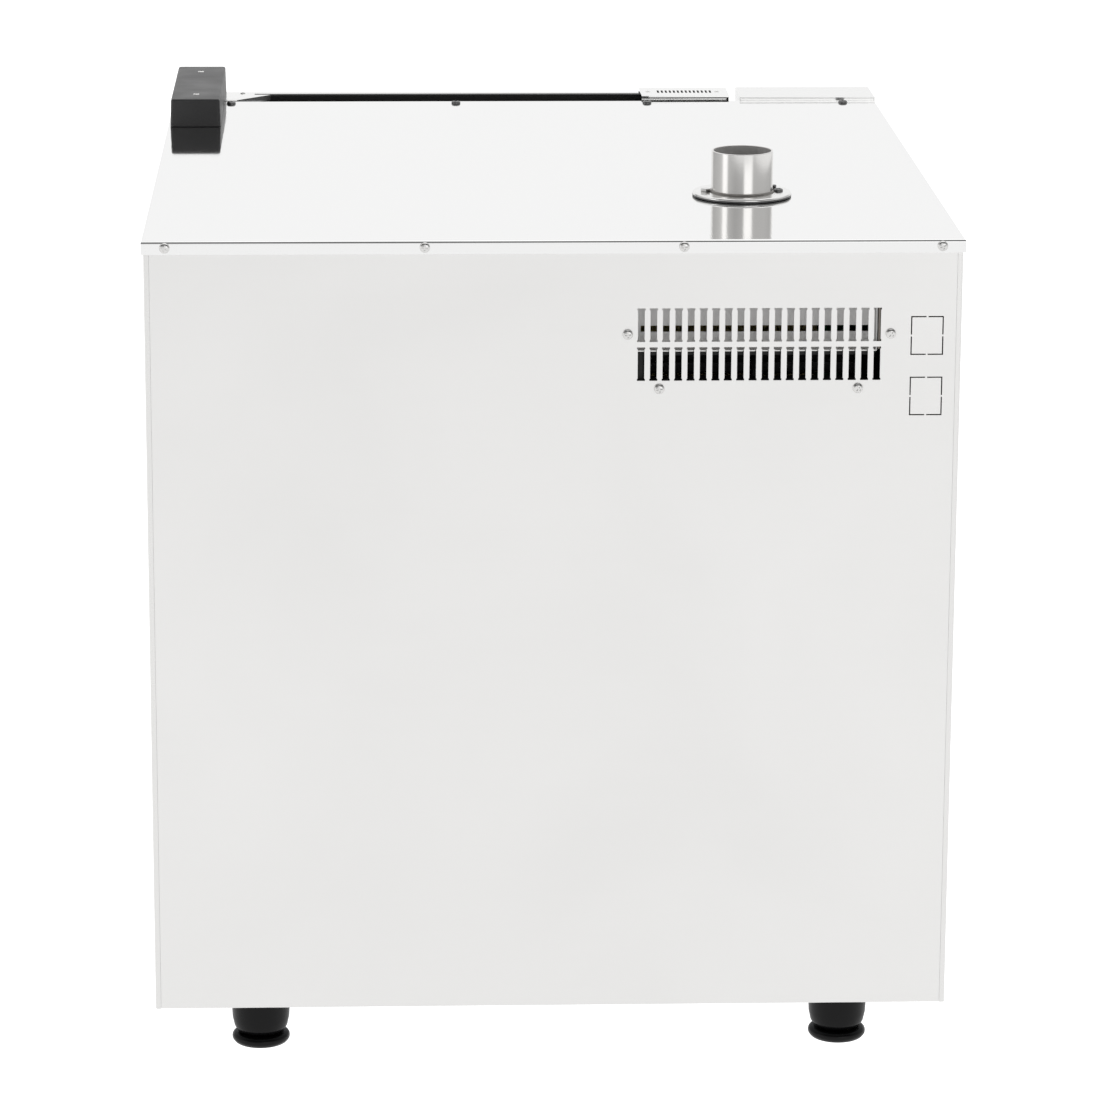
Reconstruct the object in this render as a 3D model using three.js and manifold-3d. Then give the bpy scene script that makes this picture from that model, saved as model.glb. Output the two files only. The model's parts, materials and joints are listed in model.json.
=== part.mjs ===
// A compact combination steam oven: a stainless cabinet on four adjustable feet, with a side-hinged glass door,
// a narrow control column, a fan-driven chamber and a steam flue with a motor damper in the top.
// Millimetres, +Z up. The door faces -Y, the vented rear panel faces +Y, and the origin is on the floor
// under the middle of the whole object.
import * as THREE from "three";
import { mergeVertices } from "three/addons/utils/BufferGeometryUtils.js";
import Module from "manifold-3d";

// ---------------------------------------------------------------- driving dimensions
const width = 600; // top cover, side to side
const depth = 640; // top cover, front to back
const height = 588; // cabinet body, base to top
const footHeight = 38;
const sheet = 1.2; // stainless sheet
const gap = 0.4; // between pieces that touch

const flangeDrop = 10; // top cover's folded edge
const screwHead = { radius: 3.8, height: 2.2, seat: 0.1 }; // seat: gap under the head
const shankRadius = 2;
const holeRadius = shankRadius + 0.5;

const controlWidth = 116;
const controlDepth = 58;
const controlGap = 7; // between the control column and the door
const doorGap = 5; // between the door and the front frame
const doorThickness = 47;
const doorFrameWall = 18; // how deep the outer frame's sides are
const doorSideInset = 3;
const doorTopDrop = 2;
const doorBottomLift = 8;
const handleReach = 43; // how far the lever stands out from the door

const flueRadius = 23.5;
const flueWall = 1.5;
const flueRise = 35; // above the top cover
const flueFromLeft = 150;
const flueFromBack = 182;

// ---------------------------------------------------------------- planes worked out from them
const left = -width / 2;
const right = width / 2;
const base = footHeight;
const top = base + height;
const screwStand = screwHead.seat + screwHead.height;
const overallDepth = screwStand + depth + doorGap + doorThickness + handleReach;
const back = overallDepth / 2 - screwStand; // the top cover's rear face
const front = back - depth; // the top cover's front edge
const skin = sheet + gap; // from the cover's outer face to the panels under it
const rearInner = back - skin - sheet; // inner face of the rear panel
const undersideOfCover = top - skin;

const doorLeft = left + controlWidth + controlGap;
const doorRight = right - doorSideInset;
const doorBack = front - doorGap;
const doorFront = doorBack - doorThickness;
const frameBackY = doorFront + doorFrameWall;
const doorTop = top - doorTopDrop;
const doorBottom = base + doorBottomLift;

// ---------------------------------------------------------------- solids
const wasm = await Module();
wasm.setup();

// A closed three.js geometry as a manifold solid.
function solidOf(geometry) {
  const bare = geometry.index ? geometry.toNonIndexed() : geometry.clone();
  bare.deleteAttribute("normal");
  bare.deleteAttribute("uv");
  const merged = mergeVertices(bare, 1e-4);
  return new wasm.Manifold(
    new wasm.Mesh({
      numProp: 3,
      vertProperties: merged.attributes.position.array,
      triVerts: new Uint32Array(merged.index.array),
    }),
  );
}

function geometryOf(solid) {
  const mesh = solid.getMesh();
  const position = new Float32Array(mesh.numVert * 3);
  for (let i = 0; i < mesh.numVert; i++) {
    position.set(mesh.vertProperties.subarray(i * mesh.numProp, i * mesh.numProp + 3), i * 3);
  }
  const geometry = new THREE.BufferGeometry();
  geometry.setAttribute("position", new THREE.BufferAttribute(position, 3));
  geometry.setIndex(new THREE.BufferAttribute(mesh.triVerts, 1));
  geometry.computeVertexNormals();
  return geometry;
}

// A block between two values on each axis.
function block([x0, x1], [y0, y1], [z0, z1]) {
  const geometry = new THREE.BoxGeometry(x1 - x0, y1 - y0, z1 - z0);
  geometry.translate((x0 + x1) / 2, (y0 + y1) / 2, (z0 + z1) / 2);
  return solidOf(geometry);
}

// A cylinder along an axis, from one value on that axis to another. The centre gives the other two coordinates.
function cylinder(axis, radius, [from, to], [x, y, z], sides = 24) {
  const geometry = new THREE.CylinderGeometry(radius, radius, to - from, sides);
  if (axis === "x") geometry.rotateZ(Math.PI / 2);
  if (axis === "z") geometry.rotateX(Math.PI / 2);
  const middle = (from + to) / 2;
  geometry.translate(axis === "x" ? middle : x, axis === "y" ? middle : y, axis === "z" ? middle : z);
  return solidOf(geometry);
}

// A turned piece: the profile is [radius, height] pairs from the axis at the bottom to the axis at the top.
function turned(profile, [x, y], sides = 20) {
  const points = profile.map(([r, z]) => new THREE.Vector2(r, z));
  const geometry = new THREE.LatheGeometry(points, sides);
  geometry.rotateX(Math.PI / 2);
  geometry.translate(x, y, 0);
  return solidOf(geometry);
}

// A round bar along a curve.
function bar(points, radius, steps, sides) {
  const section = new THREE.Shape();
  for (let i = 0; i < sides; i++) {
    const a = (i / sides) * 2 * Math.PI;
    const method = i ? "lineTo" : "moveTo";
    section[method](radius * Math.cos(a), radius * Math.sin(a));
  }
  const path = new THREE.CatmullRomCurve3(points.map((p) => new THREE.Vector3(...p)));
  return solidOf(new THREE.ExtrudeGeometry(section, { steps, extrudePath: path }));
}

// A flat outline in plan, given as [x, y] pairs anticlockwise, between two heights.
function slab(outline, [z0, z1]) {
  const shape = new THREE.Shape(outline.map(([x, y]) => new THREE.Vector2(x, y)));
  const geometry = new THREE.ExtrudeGeometry(shape, { depth: z1 - z0, bevelEnabled: false });
  geometry.translate(0, 0, z0);
  return solidOf(geometry);
}

const joined = (...solids) => solids.flat().reduce((all, next) => all.add(next));
const cut = (solid, ...tools) => tools.flat().reduce((rest, tool) => rest.subtract(tool), solid);
const around = (middle, half) => [middle - half, middle + half];
const range = (count) => [...Array(count).keys()];

// ---------------------------------------------------------------- materials
const finish = (color, roughness, metalness) =>
  new THREE.MeshStandardMaterial({ color, roughness, metalness });
const stainless = finish(0xd6d5d2, 0.3, 0.9);
const polishedSteel = finish(0xdcdcdc, 0.18, 0.95);
const chamberSteel = finish(0xb9b9b6, 0.25, 0.9);
const galvanised = finish(0xa9abab, 0.45, 0.7);
const screwSteel = finish(0xbdbdbb, 0.3, 0.9);
const blackPlastic = finish(0x1b1b1c, 0.55, 0);
const footPlastic = finish(0x0e0e0f, 0.45, 0);
const gasketRubber = finish(0x26262a, 0.8, 0);
const darkGlass = finish(0x0b0c0e, 0.05, 0.1);
const clearGlass = finish(0xaab4b4, 0.05, 0.1);
const mineralWool = finish(0xc2b27a, 0.95, 0);
const circuitGreen = finish(0x1f5a37, 0.5, 0.1);
const brass = finish(0xb9964a, 0.35, 0.8);

const oven = new THREE.Group();
oven.name = "combi_steam_oven";

function add(name, solid, material) {
  const mesh = new THREE.Mesh(geometryOf(solid), material);
  mesh.name = name;
  oven.add(mesh);
}

// ---------------------------------------------------------------- screws
// A pan-head screw driven along an axis: the head stands outside the face, the shank runs inwards.
function screw(axis, outward, face, length, centre) {
  const head = outward > 0 ? [face, face + screwHead.height] : [face - screwHead.height, face];
  const shank = outward > 0 ? [face - length, face + 0.5] : [face - 0.5, face + length];
  return joined(
    cylinder(axis, screwHead.radius, head, centre, 12),
    cylinder(axis, shankRadius, shank, centre, 8),
  );
}

// ---------------------------------------------------------------- flue and its damper
const flue = { x: left + flueFromLeft, y: back - flueFromBack };
const flueFlange = { radius: 37.7, thickness: 3, screwOffset: 28 };
const flueFlangeTop = top + gap + flueFlange.thickness;
const coverHoleRadius = flueRadius + 1.5;

// ---------------------------------------------------------------- chamber
const chamberTopDrop = 81; // chamber roof below the top of the cabinet
const chamberBaseLift = 74; // chamber floor above the cabinet's base
const chamberRightInset = 50;
const chamberBackInset = 96;
const fanSpace = 81; // behind the baffle, for the fan and heater
const insulation = { side: 40, left: 18, roof: 28, floor: 28, back: 20 };

const chamber = {
  left: Math.min(doorLeft - 2, flue.x - flueRadius - 6),
  right: right - chamberRightInset,
  floor: base + chamberBaseLift,
  roof: top - chamberTopDrop,
  front: front + 2 * skin,
  back: back - chamberBackInset,
};
const baffleX = chamber.left + fanSpace;
const mouth = {
  left: baffleX + 3,
  right: chamber.right,
  bottom: chamber.floor,
  top: chamber.roof,
};
const fan = {
  x: chamber.left + 14,
  y: (chamber.front + chamber.back) / 2,
  z: (chamber.floor + chamber.roof) / 2,
  radius: 104,
  width: 46,
  hub: 16,
  shaft: 6,
};
const drain = { x: (baffleX + chamber.right) / 2, y: fan.y, radius: 15, wall: 2 };
const injector = { y: fan.y + 34, z: fan.z + 62, radius: 4 };
const heater = { radius: fan.radius + 14, tube: 4, x: fan.x + fan.width / 2 };
const heaterTails = around(fan.y, 13);

function buildChamber() {
  const outer = block(
    [chamber.left - sheet, chamber.right + sheet],
    [chamber.front, chamber.back + sheet],
    [chamber.floor - sheet, chamber.roof + sheet],
  );
  const inner = block(
    [chamber.left, chamber.right],
    [chamber.front - 1, chamber.back],
    [chamber.floor, chamber.roof],
  );
  const leftWall = around(chamber.left, 4);
  const tails = heaterTails.map((y) =>
    cylinder("x", heater.tube + 1, leftWall, [0, y, fan.z - heater.radius], 12),
  );
  return cut(
    outer,
    inner,
    cylinder("x", fan.shaft + 2, leftWall, [0, fan.y, fan.z], 16),
    cylinder("x", injector.radius + 1, leftWall, [0, injector.y, injector.z], 12),
    tails,
    cylinder("z", flueRadius - flueWall, around(chamber.roof, 4), [flue.x, flue.y, 0], 32),
    cylinder("z", drain.radius - drain.wall, around(chamber.floor, 4), [drain.x, drain.y, 0], 24),
  );
}
add("oven_chamber", buildChamber(), chamberSteel);

// The motor, the heater's tails and the injector all pass through one window in the wool.
const windowY = around(fan.y, 66);
const windowZ = [fan.z - heater.radius - 16, fan.z + 84];

function buildInsulation() {
  const clear = sheet + gap;
  const outer = block(
    [chamber.left - clear - insulation.left, chamber.right + clear + insulation.side],
    [chamber.front + 6, chamber.back + clear + insulation.back],
    [chamber.floor - clear - insulation.floor, chamber.roof + clear + insulation.roof],
  );
  const inner = block(
    [chamber.left - clear, chamber.right + clear],
    [chamber.front, chamber.back + clear],
    [chamber.floor - clear, chamber.roof + clear],
  );
  return cut(
    outer,
    inner,
    block([chamber.left - clear - insulation.left - 1, chamber.left], windowY, windowZ),
    cylinder("z", flueRadius + 2, [chamber.roof, top], [flue.x, flue.y, 0], 24),
    cylinder("z", drain.radius + 2, [base, chamber.floor], [drain.x, drain.y, 0], 24),
  );
}
add("insulation_jacket", buildInsulation(), mineralWool);

// ---------------------------------------------------------------- tray racks and wire shelves
const levels = 6;
const levelPitch = (chamber.roof - chamber.floor) / (levels + 0.37);
const firstLevel = chamber.floor + 30;
const shelfWidth = chamber.right - baffleX - 23;
const rack = { plate: 1.5, ledge: 14, inset: 8, strip: 24, end: 4 };
const rackY = [chamber.front + rack.inset, chamber.back - rack.inset];

// One rack: three upright strips and six ledges that point into the chamber.
function buildRack(wall, inward) {
  const span = (from, to) => (inward > 0 ? [wall + from, wall + to] : [wall - to, wall - from]);
  const uprights = [0, 0.5, 1].map((share) => {
    const y = rackY[0] + rack.end + share * (rackY[1] - rackY[0] - rack.strip - 2 * rack.end);
    const z = [firstLevel - 12, firstLevel + (levels - 1) * levelPitch + 12];
    return block(span(0, rack.plate), [y, y + rack.strip], z);
  });
  const ledges = range(levels).map((level) => {
    const z = firstLevel + level * levelPitch;
    return block(span(rack.plate / 2, rack.plate + rack.ledge), rackY, [z - rack.plate, z]);
  });
  return joined(uprights, ledges);
}
add("left_tray_rack", buildRack(baffleX + 3, 1), polishedSteel);
add("right_tray_rack", buildRack(chamber.right - gap, -1), polishedSteel);

const shelf = { frame: 6, wire: 3, wires: 15, length: chamber.back - chamber.front - 11 };
const shelfX = around((baffleX + chamber.right + 3 - gap) / 2, shelfWidth / 2);
const shelfY = around((chamber.front + chamber.back) / 2, shelf.length / 2);

function buildShelf(level) {
  const z = firstLevel + level * levelPitch + gap;
  const rails = shelfX.map((x, i) => {
    const inner = i ? x - shelf.frame : x + shelf.frame;
    return block([Math.min(x, inner), Math.max(x, inner)], shelfY, [z, z + shelf.frame]);
  });
  const ends = shelfY.map((y, i) => {
    const inner = i ? y - shelf.frame : y + shelf.frame;
    return block(shelfX, [Math.min(y, inner), Math.max(y, inner)], [z, z + shelf.frame]);
  });
  const wires = range(shelf.wires).map((i) => {
    const x = shelfX[0] + ((i + 1) / (shelf.wires + 1)) * shelfWidth;
    return block(around(x, shelf.wire / 2), [shelfY[0] + 2, shelfY[1] - 2], [z + 1.5, z + 1.5 + shelf.wire]);
  });
  return joined(rails, ends, wires);
}
add("wire_shelf_lower", buildShelf(1), polishedSteel);
add("wire_shelf_upper", buildShelf(3), polishedSteel);

// ---------------------------------------------------------------- fan, heater and injector
// The baffle keeps the trays off the fan. Air is drawn in through its middle and blown round its edges.
function buildBaffle() {
  const edge = 12;
  const plate = block(
    around(baffleX + 1, 1),
    [chamber.front + 5, chamber.back - 5],
    [chamber.floor + edge, chamber.roof - edge],
  );
  const suction = 74;
  const slots = range(11).map((i) => {
    const rise = (i - 5) * (suction / 5.5);
    const half = Math.sqrt(suction ** 2 - rise ** 2) * 0.96;
    return block(around(baffleX, 4), around(fan.y, half), around(fan.z + rise, 4));
  });
  const sideSlots = [-1, 1].flatMap((side) =>
    range(6).map((i) =>
      block(
        around(baffleX, 4),
        around(fan.y + side * (chamber.back - chamber.front) * 0.42, 5),
        around(fan.z + (i - 2.5) * 62, 24),
      ),
    ),
  );
  return cut(plate, slots, sideSlots);
}
add("fan_baffle", buildBaffle(), polishedSteel);

function buildConvectionFan() {
  const disc = cylinder("x", fan.radius, [fan.x, fan.x + 1.5], [0, fan.y, fan.z], 32);
  const hub = cylinder("x", fan.hub, [fan.x - 4, fan.x + 24], [0, fan.y, fan.z], 20);
  const shaft = cylinder("x", fan.shaft, [chamber.left - 26, fan.x], [0, fan.y, fan.z], 16);
  const blades = range(8).map((i) => {
    const geometry = new THREE.BoxGeometry(fan.width, 1.5, fan.radius * 0.42);
    geometry.translate(fan.x + 0.8 + fan.width / 2, 0, fan.radius * 0.75);
    geometry.rotateX((i / 8) * 2 * Math.PI);
    geometry.translate(0, fan.y, fan.z);
    return solidOf(geometry);
  });
  return joined(disc, hub, shaft, blades);
}
add("convection_fan", buildConvectionFan(), polishedSteel);

const motor = { flange: 54, flangeThickness: 3, radius: 46, length: 84 };
function buildMotor() {
  const face = chamber.left - sheet - gap;
  const flangeX = [face - motor.flangeThickness, face];
  const body = [flangeX[0] - motor.length, flangeX[0] + 1];
  return cut(
    joined(
      block(flangeX, around(fan.y, motor.flange), around(fan.z, motor.flange)),
      cylinder("x", motor.radius, body, [0, fan.y, fan.z], 28),
      block([body[0] + 18, body[0] + 58], around(fan.y, 20), [fan.z, fan.z + motor.radius + 14]),
    ),
    cylinder("x", fan.shaft + 0.5, [chamber.left - 30, chamber.left], [0, fan.y, fan.z], 16),
  );
}
add("fan_motor", buildMotor(), galvanised);

// A ring round the fan whose two tails pass out through the chamber wall.
function buildHeater() {
  const tail = (y) => [
    [chamber.left - 14, y, fan.z - heater.radius],
    [chamber.left + 4, y, fan.z - heater.radius],
    [heater.x - 12, y, fan.z - heater.radius],
  ];
  const startAngle = Math.asin(22 / heater.radius);
  const turns = range(17).map((i) => {
    const a = -Math.PI / 2 + startAngle + (i / 16) * (2 * Math.PI - 2 * startAngle);
    return [heater.x, fan.y + heater.radius * Math.cos(a), fan.z + heater.radius * Math.sin(a)];
  });
  const points = [...tail(heaterTails[1]), ...turns, ...tail(heaterTails[0]).reverse()];
  return bar(points, heater.tube, 52, 6);
}
add("heating_element", buildHeater(), galvanised);

// ---------------------------------------------------------------- water in, waste out, cable in
const inlet = { x: left + 60, y: back - 124, radius: 13 };
const gland = { x: left + 45, y: back - 190, radius: 11 };
const underBase = 16; // how far the fittings reach below the base pan
const valveTop = base + 62;

function buildWaterValve() {
  return joined(
    block(around(inlet.x, 17), around(inlet.y, 20), [base + 22, base + 50]),
    cylinder("z", 12, [base + 49, valveTop], [inlet.x, inlet.y, 0], 20),
    cylinder("z", inlet.radius, [base - underBase, base + 23], [inlet.x, inlet.y, 0], 24),
    cylinder("z", inlet.radius + 4, [base + sheet + gap, base + 8], [inlet.x, inlet.y, 0], 6),
  );
}
add("water_valve", buildWaterValve(), brass);

function buildInjector() {
  const entryX = chamber.left - 34;
  const points = [
    [inlet.x, inlet.y, valveTop + gap],
    [inlet.x, inlet.y, valveTop + 40],
    [inlet.x, injector.y + 30, injector.z - 30],
    [inlet.x + 4, injector.y + 4, injector.z],
    [entryX, injector.y, injector.z],
    [chamber.left + 5, injector.y, injector.z],
  ];
  return bar(points, injector.radius, 24, 6);
}
add("steam_injector", buildInjector(), polishedSteel);

function buildDrainPipe() {
  const z = [base - underBase - 10, chamber.floor - sheet - gap];
  return cut(
    cylinder("z", drain.radius, z, [drain.x, drain.y, 0], 24),
    cylinder("z", drain.radius - drain.wall, [z[0] - 1, z[1] + 1], [drain.x, drain.y, 0], 24),
  );
}
add("drain_pipe", buildDrainPipe(), polishedSteel);

function buildCableGland() {
  const at = [gland.x, gland.y, 0];
  return cut(
    joined(
      cylinder("z", gland.radius, [base - underBase, base + 14], at, 20),
      cylinder("z", gland.radius + 4, [base - 10, base - gap], at, 6),
      cylinder("z", gland.radius + 4, [base + sheet + gap, base + 7], at, 6),
    ),
    cylinder("z", 6, [base - underBase - 1, base + 15], at, 16),
  );
}
add("cable_gland", buildCableGland(), blackPlastic);

// ---------------------------------------------------------------- outer panels
const rearScrewX = [-1, -1 / 3, 1 / 3, 1].map((share) => share * (width / 2 - 17.5));
const rearScrewZ = top - flangeDrop / 2;
const coverScrewY = front + 12;
const coverScrewX = [right - 49.5, right - 240.5, left + 196.5, left + 29];

function buildTopCover() {
  const outer = block([left, right], [front, back], [top - flangeDrop, top]);
  const inner = block(
    [left + sheet, right - sheet],
    [front - 1, back - sheet],
    [top - flangeDrop - 1, top - sheet],
  );
  return cut(
    outer,
    inner,
    cylinder("z", coverHoleRadius, [top - 5, top + 1], [flue.x, flue.y, 0], 28),
    rearScrewX.map((x) => cylinder("y", holeRadius, [back - 4, back + 1], [x, 0, rearScrewZ], 12)),
    coverScrewX.map((x) => cylinder("z", holeRadius, [top - 4, top + 1], [x, coverScrewY, 0], 12)),
  );
}
add("top_cover", buildTopCover(), stainless);

// Vent slots, in two rows of twenty over the blower's mouth, in line with the flue.
const vent = { count: 20, pitch: 9.1, slot: 4.9, slotHeight: 25, bar: 4, drop: 51 };
const ventX = around(flue.x, ((vent.count - 1) * vent.pitch + vent.slot) / 2);
const ventTop = top - vent.drop;
const ventBottom = ventTop - 2 * vent.slotHeight - vent.bar;
const ventScrews = [
  [flue.x - 96.3, ventTop - 19.3],
  [flue.x + 96.3, ventTop - 19.3],
  [flue.x - 72.9, ventBottom - 6],
  [flue.x + 72.9, ventBottom - 6],
];

function ventSlots() {
  return range(vent.count).flatMap((i) =>
    range(2).map((row) => {
      const x = ventX[0] + i * vent.pitch;
      const z = ventTop - row * (vent.slotHeight + vent.bar);
      return block([x, x + vent.slot], [rearInner - 1, back], [z - vent.slotHeight, z]);
    }),
  );
}

// A knock-out's outline is four L-shaped slits, which leave a small tab in the middle of each side.
const knockOut = { width: 24, height: 29, slit: 0.9, tab: 1.4, fromLeft: 27, top: 57.4, pitch: 45.3 };
function knockOutSlits(x, z) {
  const half = { x: knockOut.width / 2, z: knockOut.height / 2 };
  const y = [rearInner - 1, back];
  return [-1, 1].flatMap((sx) =>
    [-1, 1].map((sz) => {
      const corner = { x: x + sx * half.x, z: z + sz * half.z };
      const along = [corner.x, x + (sx * knockOut.tab) / 2].sort((a, b) => a - b);
      const up = [corner.z, z + (sz * knockOut.tab) / 2].sort((a, b) => a - b);
      return joined(
        block(along, y, around(corner.z - (sz * knockOut.slit) / 2, knockOut.slit / 2)),
        block(around(corner.x - (sx * knockOut.slit) / 2, knockOut.slit / 2), y, up),
      );
    }),
  );
}

function buildRearPanel() {
  const panel = block([left + skin, right - skin], [rearInner, rearInner + sheet], [base, undersideOfCover]);
  const knockOuts = range(2).flatMap((i) =>
    knockOutSlits(
      left + knockOut.fromLeft,
      top - knockOut.top - knockOut.height / 2 - i * knockOut.pitch,
    ),
  );
  const y = [rearInner - 2, back];
  return cut(
    panel,
    ventSlots(),
    knockOuts,
    rearScrewX.map((x) => cylinder("y", holeRadius, y, [x, 0, rearScrewZ], 12)),
    ventScrews.map(([x, z]) => cylinder("y", holeRadius, y, [x, 0, z], 12)),
  );
}
add("rear_panel", buildRearPanel(), stainless);

// Each side panel turns in behind the rear panel.
function buildSidePanel(side) {
  const outerX = side * (width / 2 - skin);
  const innerX = outerX - side * sheet;
  const turnX = innerX - side * 8;
  const sorted = (a, b) => [Math.min(a, b), Math.max(a, b)];
  const y = [front + gap, rearInner - gap];
  const z = [base, undersideOfCover];
  return joined(
    block(sorted(outerX, innerX), y, z),
    block(sorted(innerX + side * 0.2, turnX), [y[1] - sheet, y[1]], z),
  );
}
add("left_side_panel", buildSidePanel(-1), stainless);
add("right_side_panel", buildSidePanel(1), stainless);

const panelInset = skin + sheet + gap; // inside the side panels
const basePan = {
  x: [left + panelInset, right - panelInset],
  y: [front + 4, rearInner - gap - sheet - gap],
  wall: 18,
};
const dripRail = { x: [doorLeft + 1, doorRight - 36], y: [front + gap, front + 36], drop: 20, foot: 7 };

// The base pan's edges turn up. Two folded rails under its front edge carry the drip tray.
function buildBasePan() {
  const tray = cut(
    block(basePan.x, basePan.y, [base, base + basePan.wall]),
    block(
      [basePan.x[0] + sheet, basePan.x[1] - sheet],
      [basePan.y[0] + sheet, basePan.y[1] - sheet],
      [base + sheet, base + basePan.wall + 1],
    ),
  );
  const railZ = [base - dripRail.drop, base + sheet / 2];
  const railY = [basePan.y[0], dripRail.y[1]];
  const rails = dripRail.x.flatMap((x, i) => {
    const inward = i ? -1 : 1;
    const footX = [x, x + inward * dripRail.foot].sort((a, b) => a - b);
    const stemX = [x, x + inward * sheet].sort((a, b) => a - b);
    return [block(stemX, railY, railZ), block(footX, railY, [railZ[0], railZ[0] + sheet])];
  });
  const louvres = range(6).map((i) =>
    block(around(left + 42 + i * 16, 4), around(fan.y - 120, 45), around(base, 4)),
  );
  return cut(
    joined(tray, rails),
    louvres,
    cylinder("z", inlet.radius + 1, around(base, 4), [inlet.x, inlet.y, 0], 24),
    cylinder("z", gland.radius + 1, around(base, 4), [gland.x, gland.y, 0], 20),
    cylinder("z", drain.radius + 1, around(base, 4), [drain.x, drain.y, 0], 24),
  );
}
add("base_pan", buildBasePan(), galvanised);

// ---------------------------------------------------------------- front frame, gasket and strike
const latch = { x: doorLeft + 32, z: base + height * 0.65, pocket: [19, 24], cam: 15 };
const frameFace = front + gap; // the frame's outer face
const coverTab = 24; // the frame's flange under the cover

function buildFrontFrame() {
  const faceY = [frameFace, frameFace + sheet];
  const plate = block([doorLeft - 5, right - panelInset], faceY, [base, undersideOfCover]);
  const tab = block(
    [left + panelInset, right - panelInset],
    [frameFace, frameFace + coverTab],
    [undersideOfCover - sheet, undersideOfCover],
  );
  return cut(
    joined(plate, tab),
    block([mouth.left, mouth.right], around(frameFace, 8), [mouth.bottom, mouth.top]),
    block(around(latch.x, latch.pocket[0]), around(frameFace, 8), around(latch.z, latch.pocket[1])),
    coverScrewX.map((x) => cylinder("z", holeRadius, [top - 9, top], [x, coverScrewY, 0], 12)),
  );
}
add("front_frame", buildFrontFrame(), stainless);

function buildStrikePlate() {
  const y = [frameFace + sheet + gap, frameFace + sheet + gap + 2];
  return cut(
    joined(
      block(around(latch.x, latch.pocket[0] + 8), y, around(latch.z, latch.pocket[1] + 10)),
      block(around(latch.x, latch.pocket[0] + 3), [y[0], y[0] + 16], around(latch.z, latch.pocket[1] + 3)),
    ),
    block(around(latch.x, latch.pocket[0]), [y[0] - 1, y[0] + 13], around(latch.z, latch.pocket[1])),
  );
}
add("strike_plate", buildStrikePlate(), galvanised);

const gasket = { width: 10, thickness: doorGap - 1 };
function buildGasket() {
  const y = [front - gasket.thickness, front];
  return cut(
    block(
      [mouth.left - gasket.width, mouth.right + gasket.width],
      y,
      [mouth.bottom - gasket.width, mouth.top + gasket.width],
    ),
    block([mouth.left, mouth.right], [y[0] - 1, y[1] + 1], [mouth.bottom, mouth.top]),
  );
}
add("door_gasket", buildGasket(), gasketRubber);

// ---------------------------------------------------------------- screws, each row in its own nut strip
const stripThickness = 1.5;
const stripHalf = 3.4;

function buildRearCoverScrews() {
  const stripY = [rearInner - gap - stripThickness, rearInner - gap];
  const reach = back - stripY[0];
  return joined(
    rearScrewX.map((x) => screw("y", 1, back + screwHead.seat, reach, [x, 0, rearScrewZ])),
    block([rearScrewX[0] - 4, rearScrewX[3] + 4], stripY, [rearScrewZ - stripHalf, rearScrewZ + stripHalf - 0.4]),
  );
}
add("rear_cover_screws", buildRearCoverScrews(), screwSteel);

function buildFrontCoverScrews() {
  const stripZ = [undersideOfCover - sheet - gap - stripThickness, undersideOfCover - sheet - gap];
  const xs = [...coverScrewX].sort((a, b) => a - b);
  return joined(
    xs.map((x) => screw("z", 1, top + screwHead.seat, top - stripZ[0], [x, coverScrewY, 0])),
    block([xs[0] - 5, xs[3] + 5], around(coverScrewY, 4), stripZ),
  );
}
add("front_cover_screws", buildFrontCoverScrews(), screwSteel);

function buildVentScrews() {
  const stripY = [rearInner - gap - stripThickness, rearInner - gap];
  const face = rearInner + sheet + screwHead.seat;
  const [upLeft, upRight, lowLeft, lowRight] = ventScrews;
  const lowZ = around(lowLeft[1], 3);
  return joined(
    ventScrews.map(([x, z]) => screw("y", 1, face, face - stripY[0], [x, 0, z])),
    block([upLeft[0] - 4, upRight[0] + 4], stripY, lowZ),
    block(around(upLeft[0], 4), stripY, [lowLeft[1], upLeft[1] + 5]),
    block(around(upRight[0], 4), stripY, [lowRight[1], upRight[1] + 5]),
  );
}
add("vent_screws", buildVentScrews(), screwSteel);

// ---------------------------------------------------------------- vent deflector and cooling blower
const deflector = { x: [ventX[0] + 2, ventX[1] + 1.5], y: rearInner - 9, slitDrop: 15, slit: 4.5 };
const deflectorBottom = ventTop - vent.slotHeight - vent.bar - 4;

// A folded sheet close behind the upper slots, with one long slit in it.
function buildDeflector() {
  const y = [deflector.y - sheet, deflector.y];
  const shelfY0 = rearInner - 62;
  const slitZ = [ventTop - deflector.slitDrop - deflector.slit, ventTop - deflector.slitDrop];
  const face = block(deflector.x, y, [deflectorBottom, ventTop + 8]);
  const shelfSheet = block(deflector.x, [shelfY0, y[1]], [deflectorBottom, deflectorBottom + sheet]);
  const cheeks = deflector.x.map((x, i) => {
    const cheekX = i ? [x - sheet, x] : [x, x + sheet];
    return block(cheekX, [shelfY0, rearInner - 2.6], [deflectorBottom, ventTop + 8]);
  });
  return cut(
    joined(face, shelfSheet, cheeks),
    block([deflector.x[0] + 4, deflector.x[1] - 4], around(deflector.y, 3), slitZ),
  );
}
add("vent_deflector", buildDeflector(), galvanised);

const blower = { radius: 22, y: rearInner - 40, z: deflectorBottom - 30, axle: 3 };
const blowerX = [deflector.x[0] + 2, deflector.x[1] - 2];

// The blower's housing is a block with a round well for the wheel, an outlet to the slots and an inlet below.
function buildBlowerHousing() {
  const y = [rearInner - 66, rearInner - 3.4];
  const z = [blower.z - 30, deflectorBottom - gap];
  const well = [blowerX[0] + 4, blowerX[1] - 4];
  return cut(
    block(blowerX, y, z),
    cylinder("x", blower.radius + 4, well, [0, blower.y, blower.z], 24),
    block(well, [blower.y, y[1] + 1], [deflectorBottom - 21, deflectorBottom - 3]),
    block(well, [y[0] - 1, blower.y], [z[0] + 4, blower.z]),
    cylinder("x", blower.axle + 0.4, [blowerX[0] - 1, blowerX[1] + 1], [0, blower.y, blower.z], 12),
  );
}
add("blower_housing", buildBlowerHousing(), blackPlastic);

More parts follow.
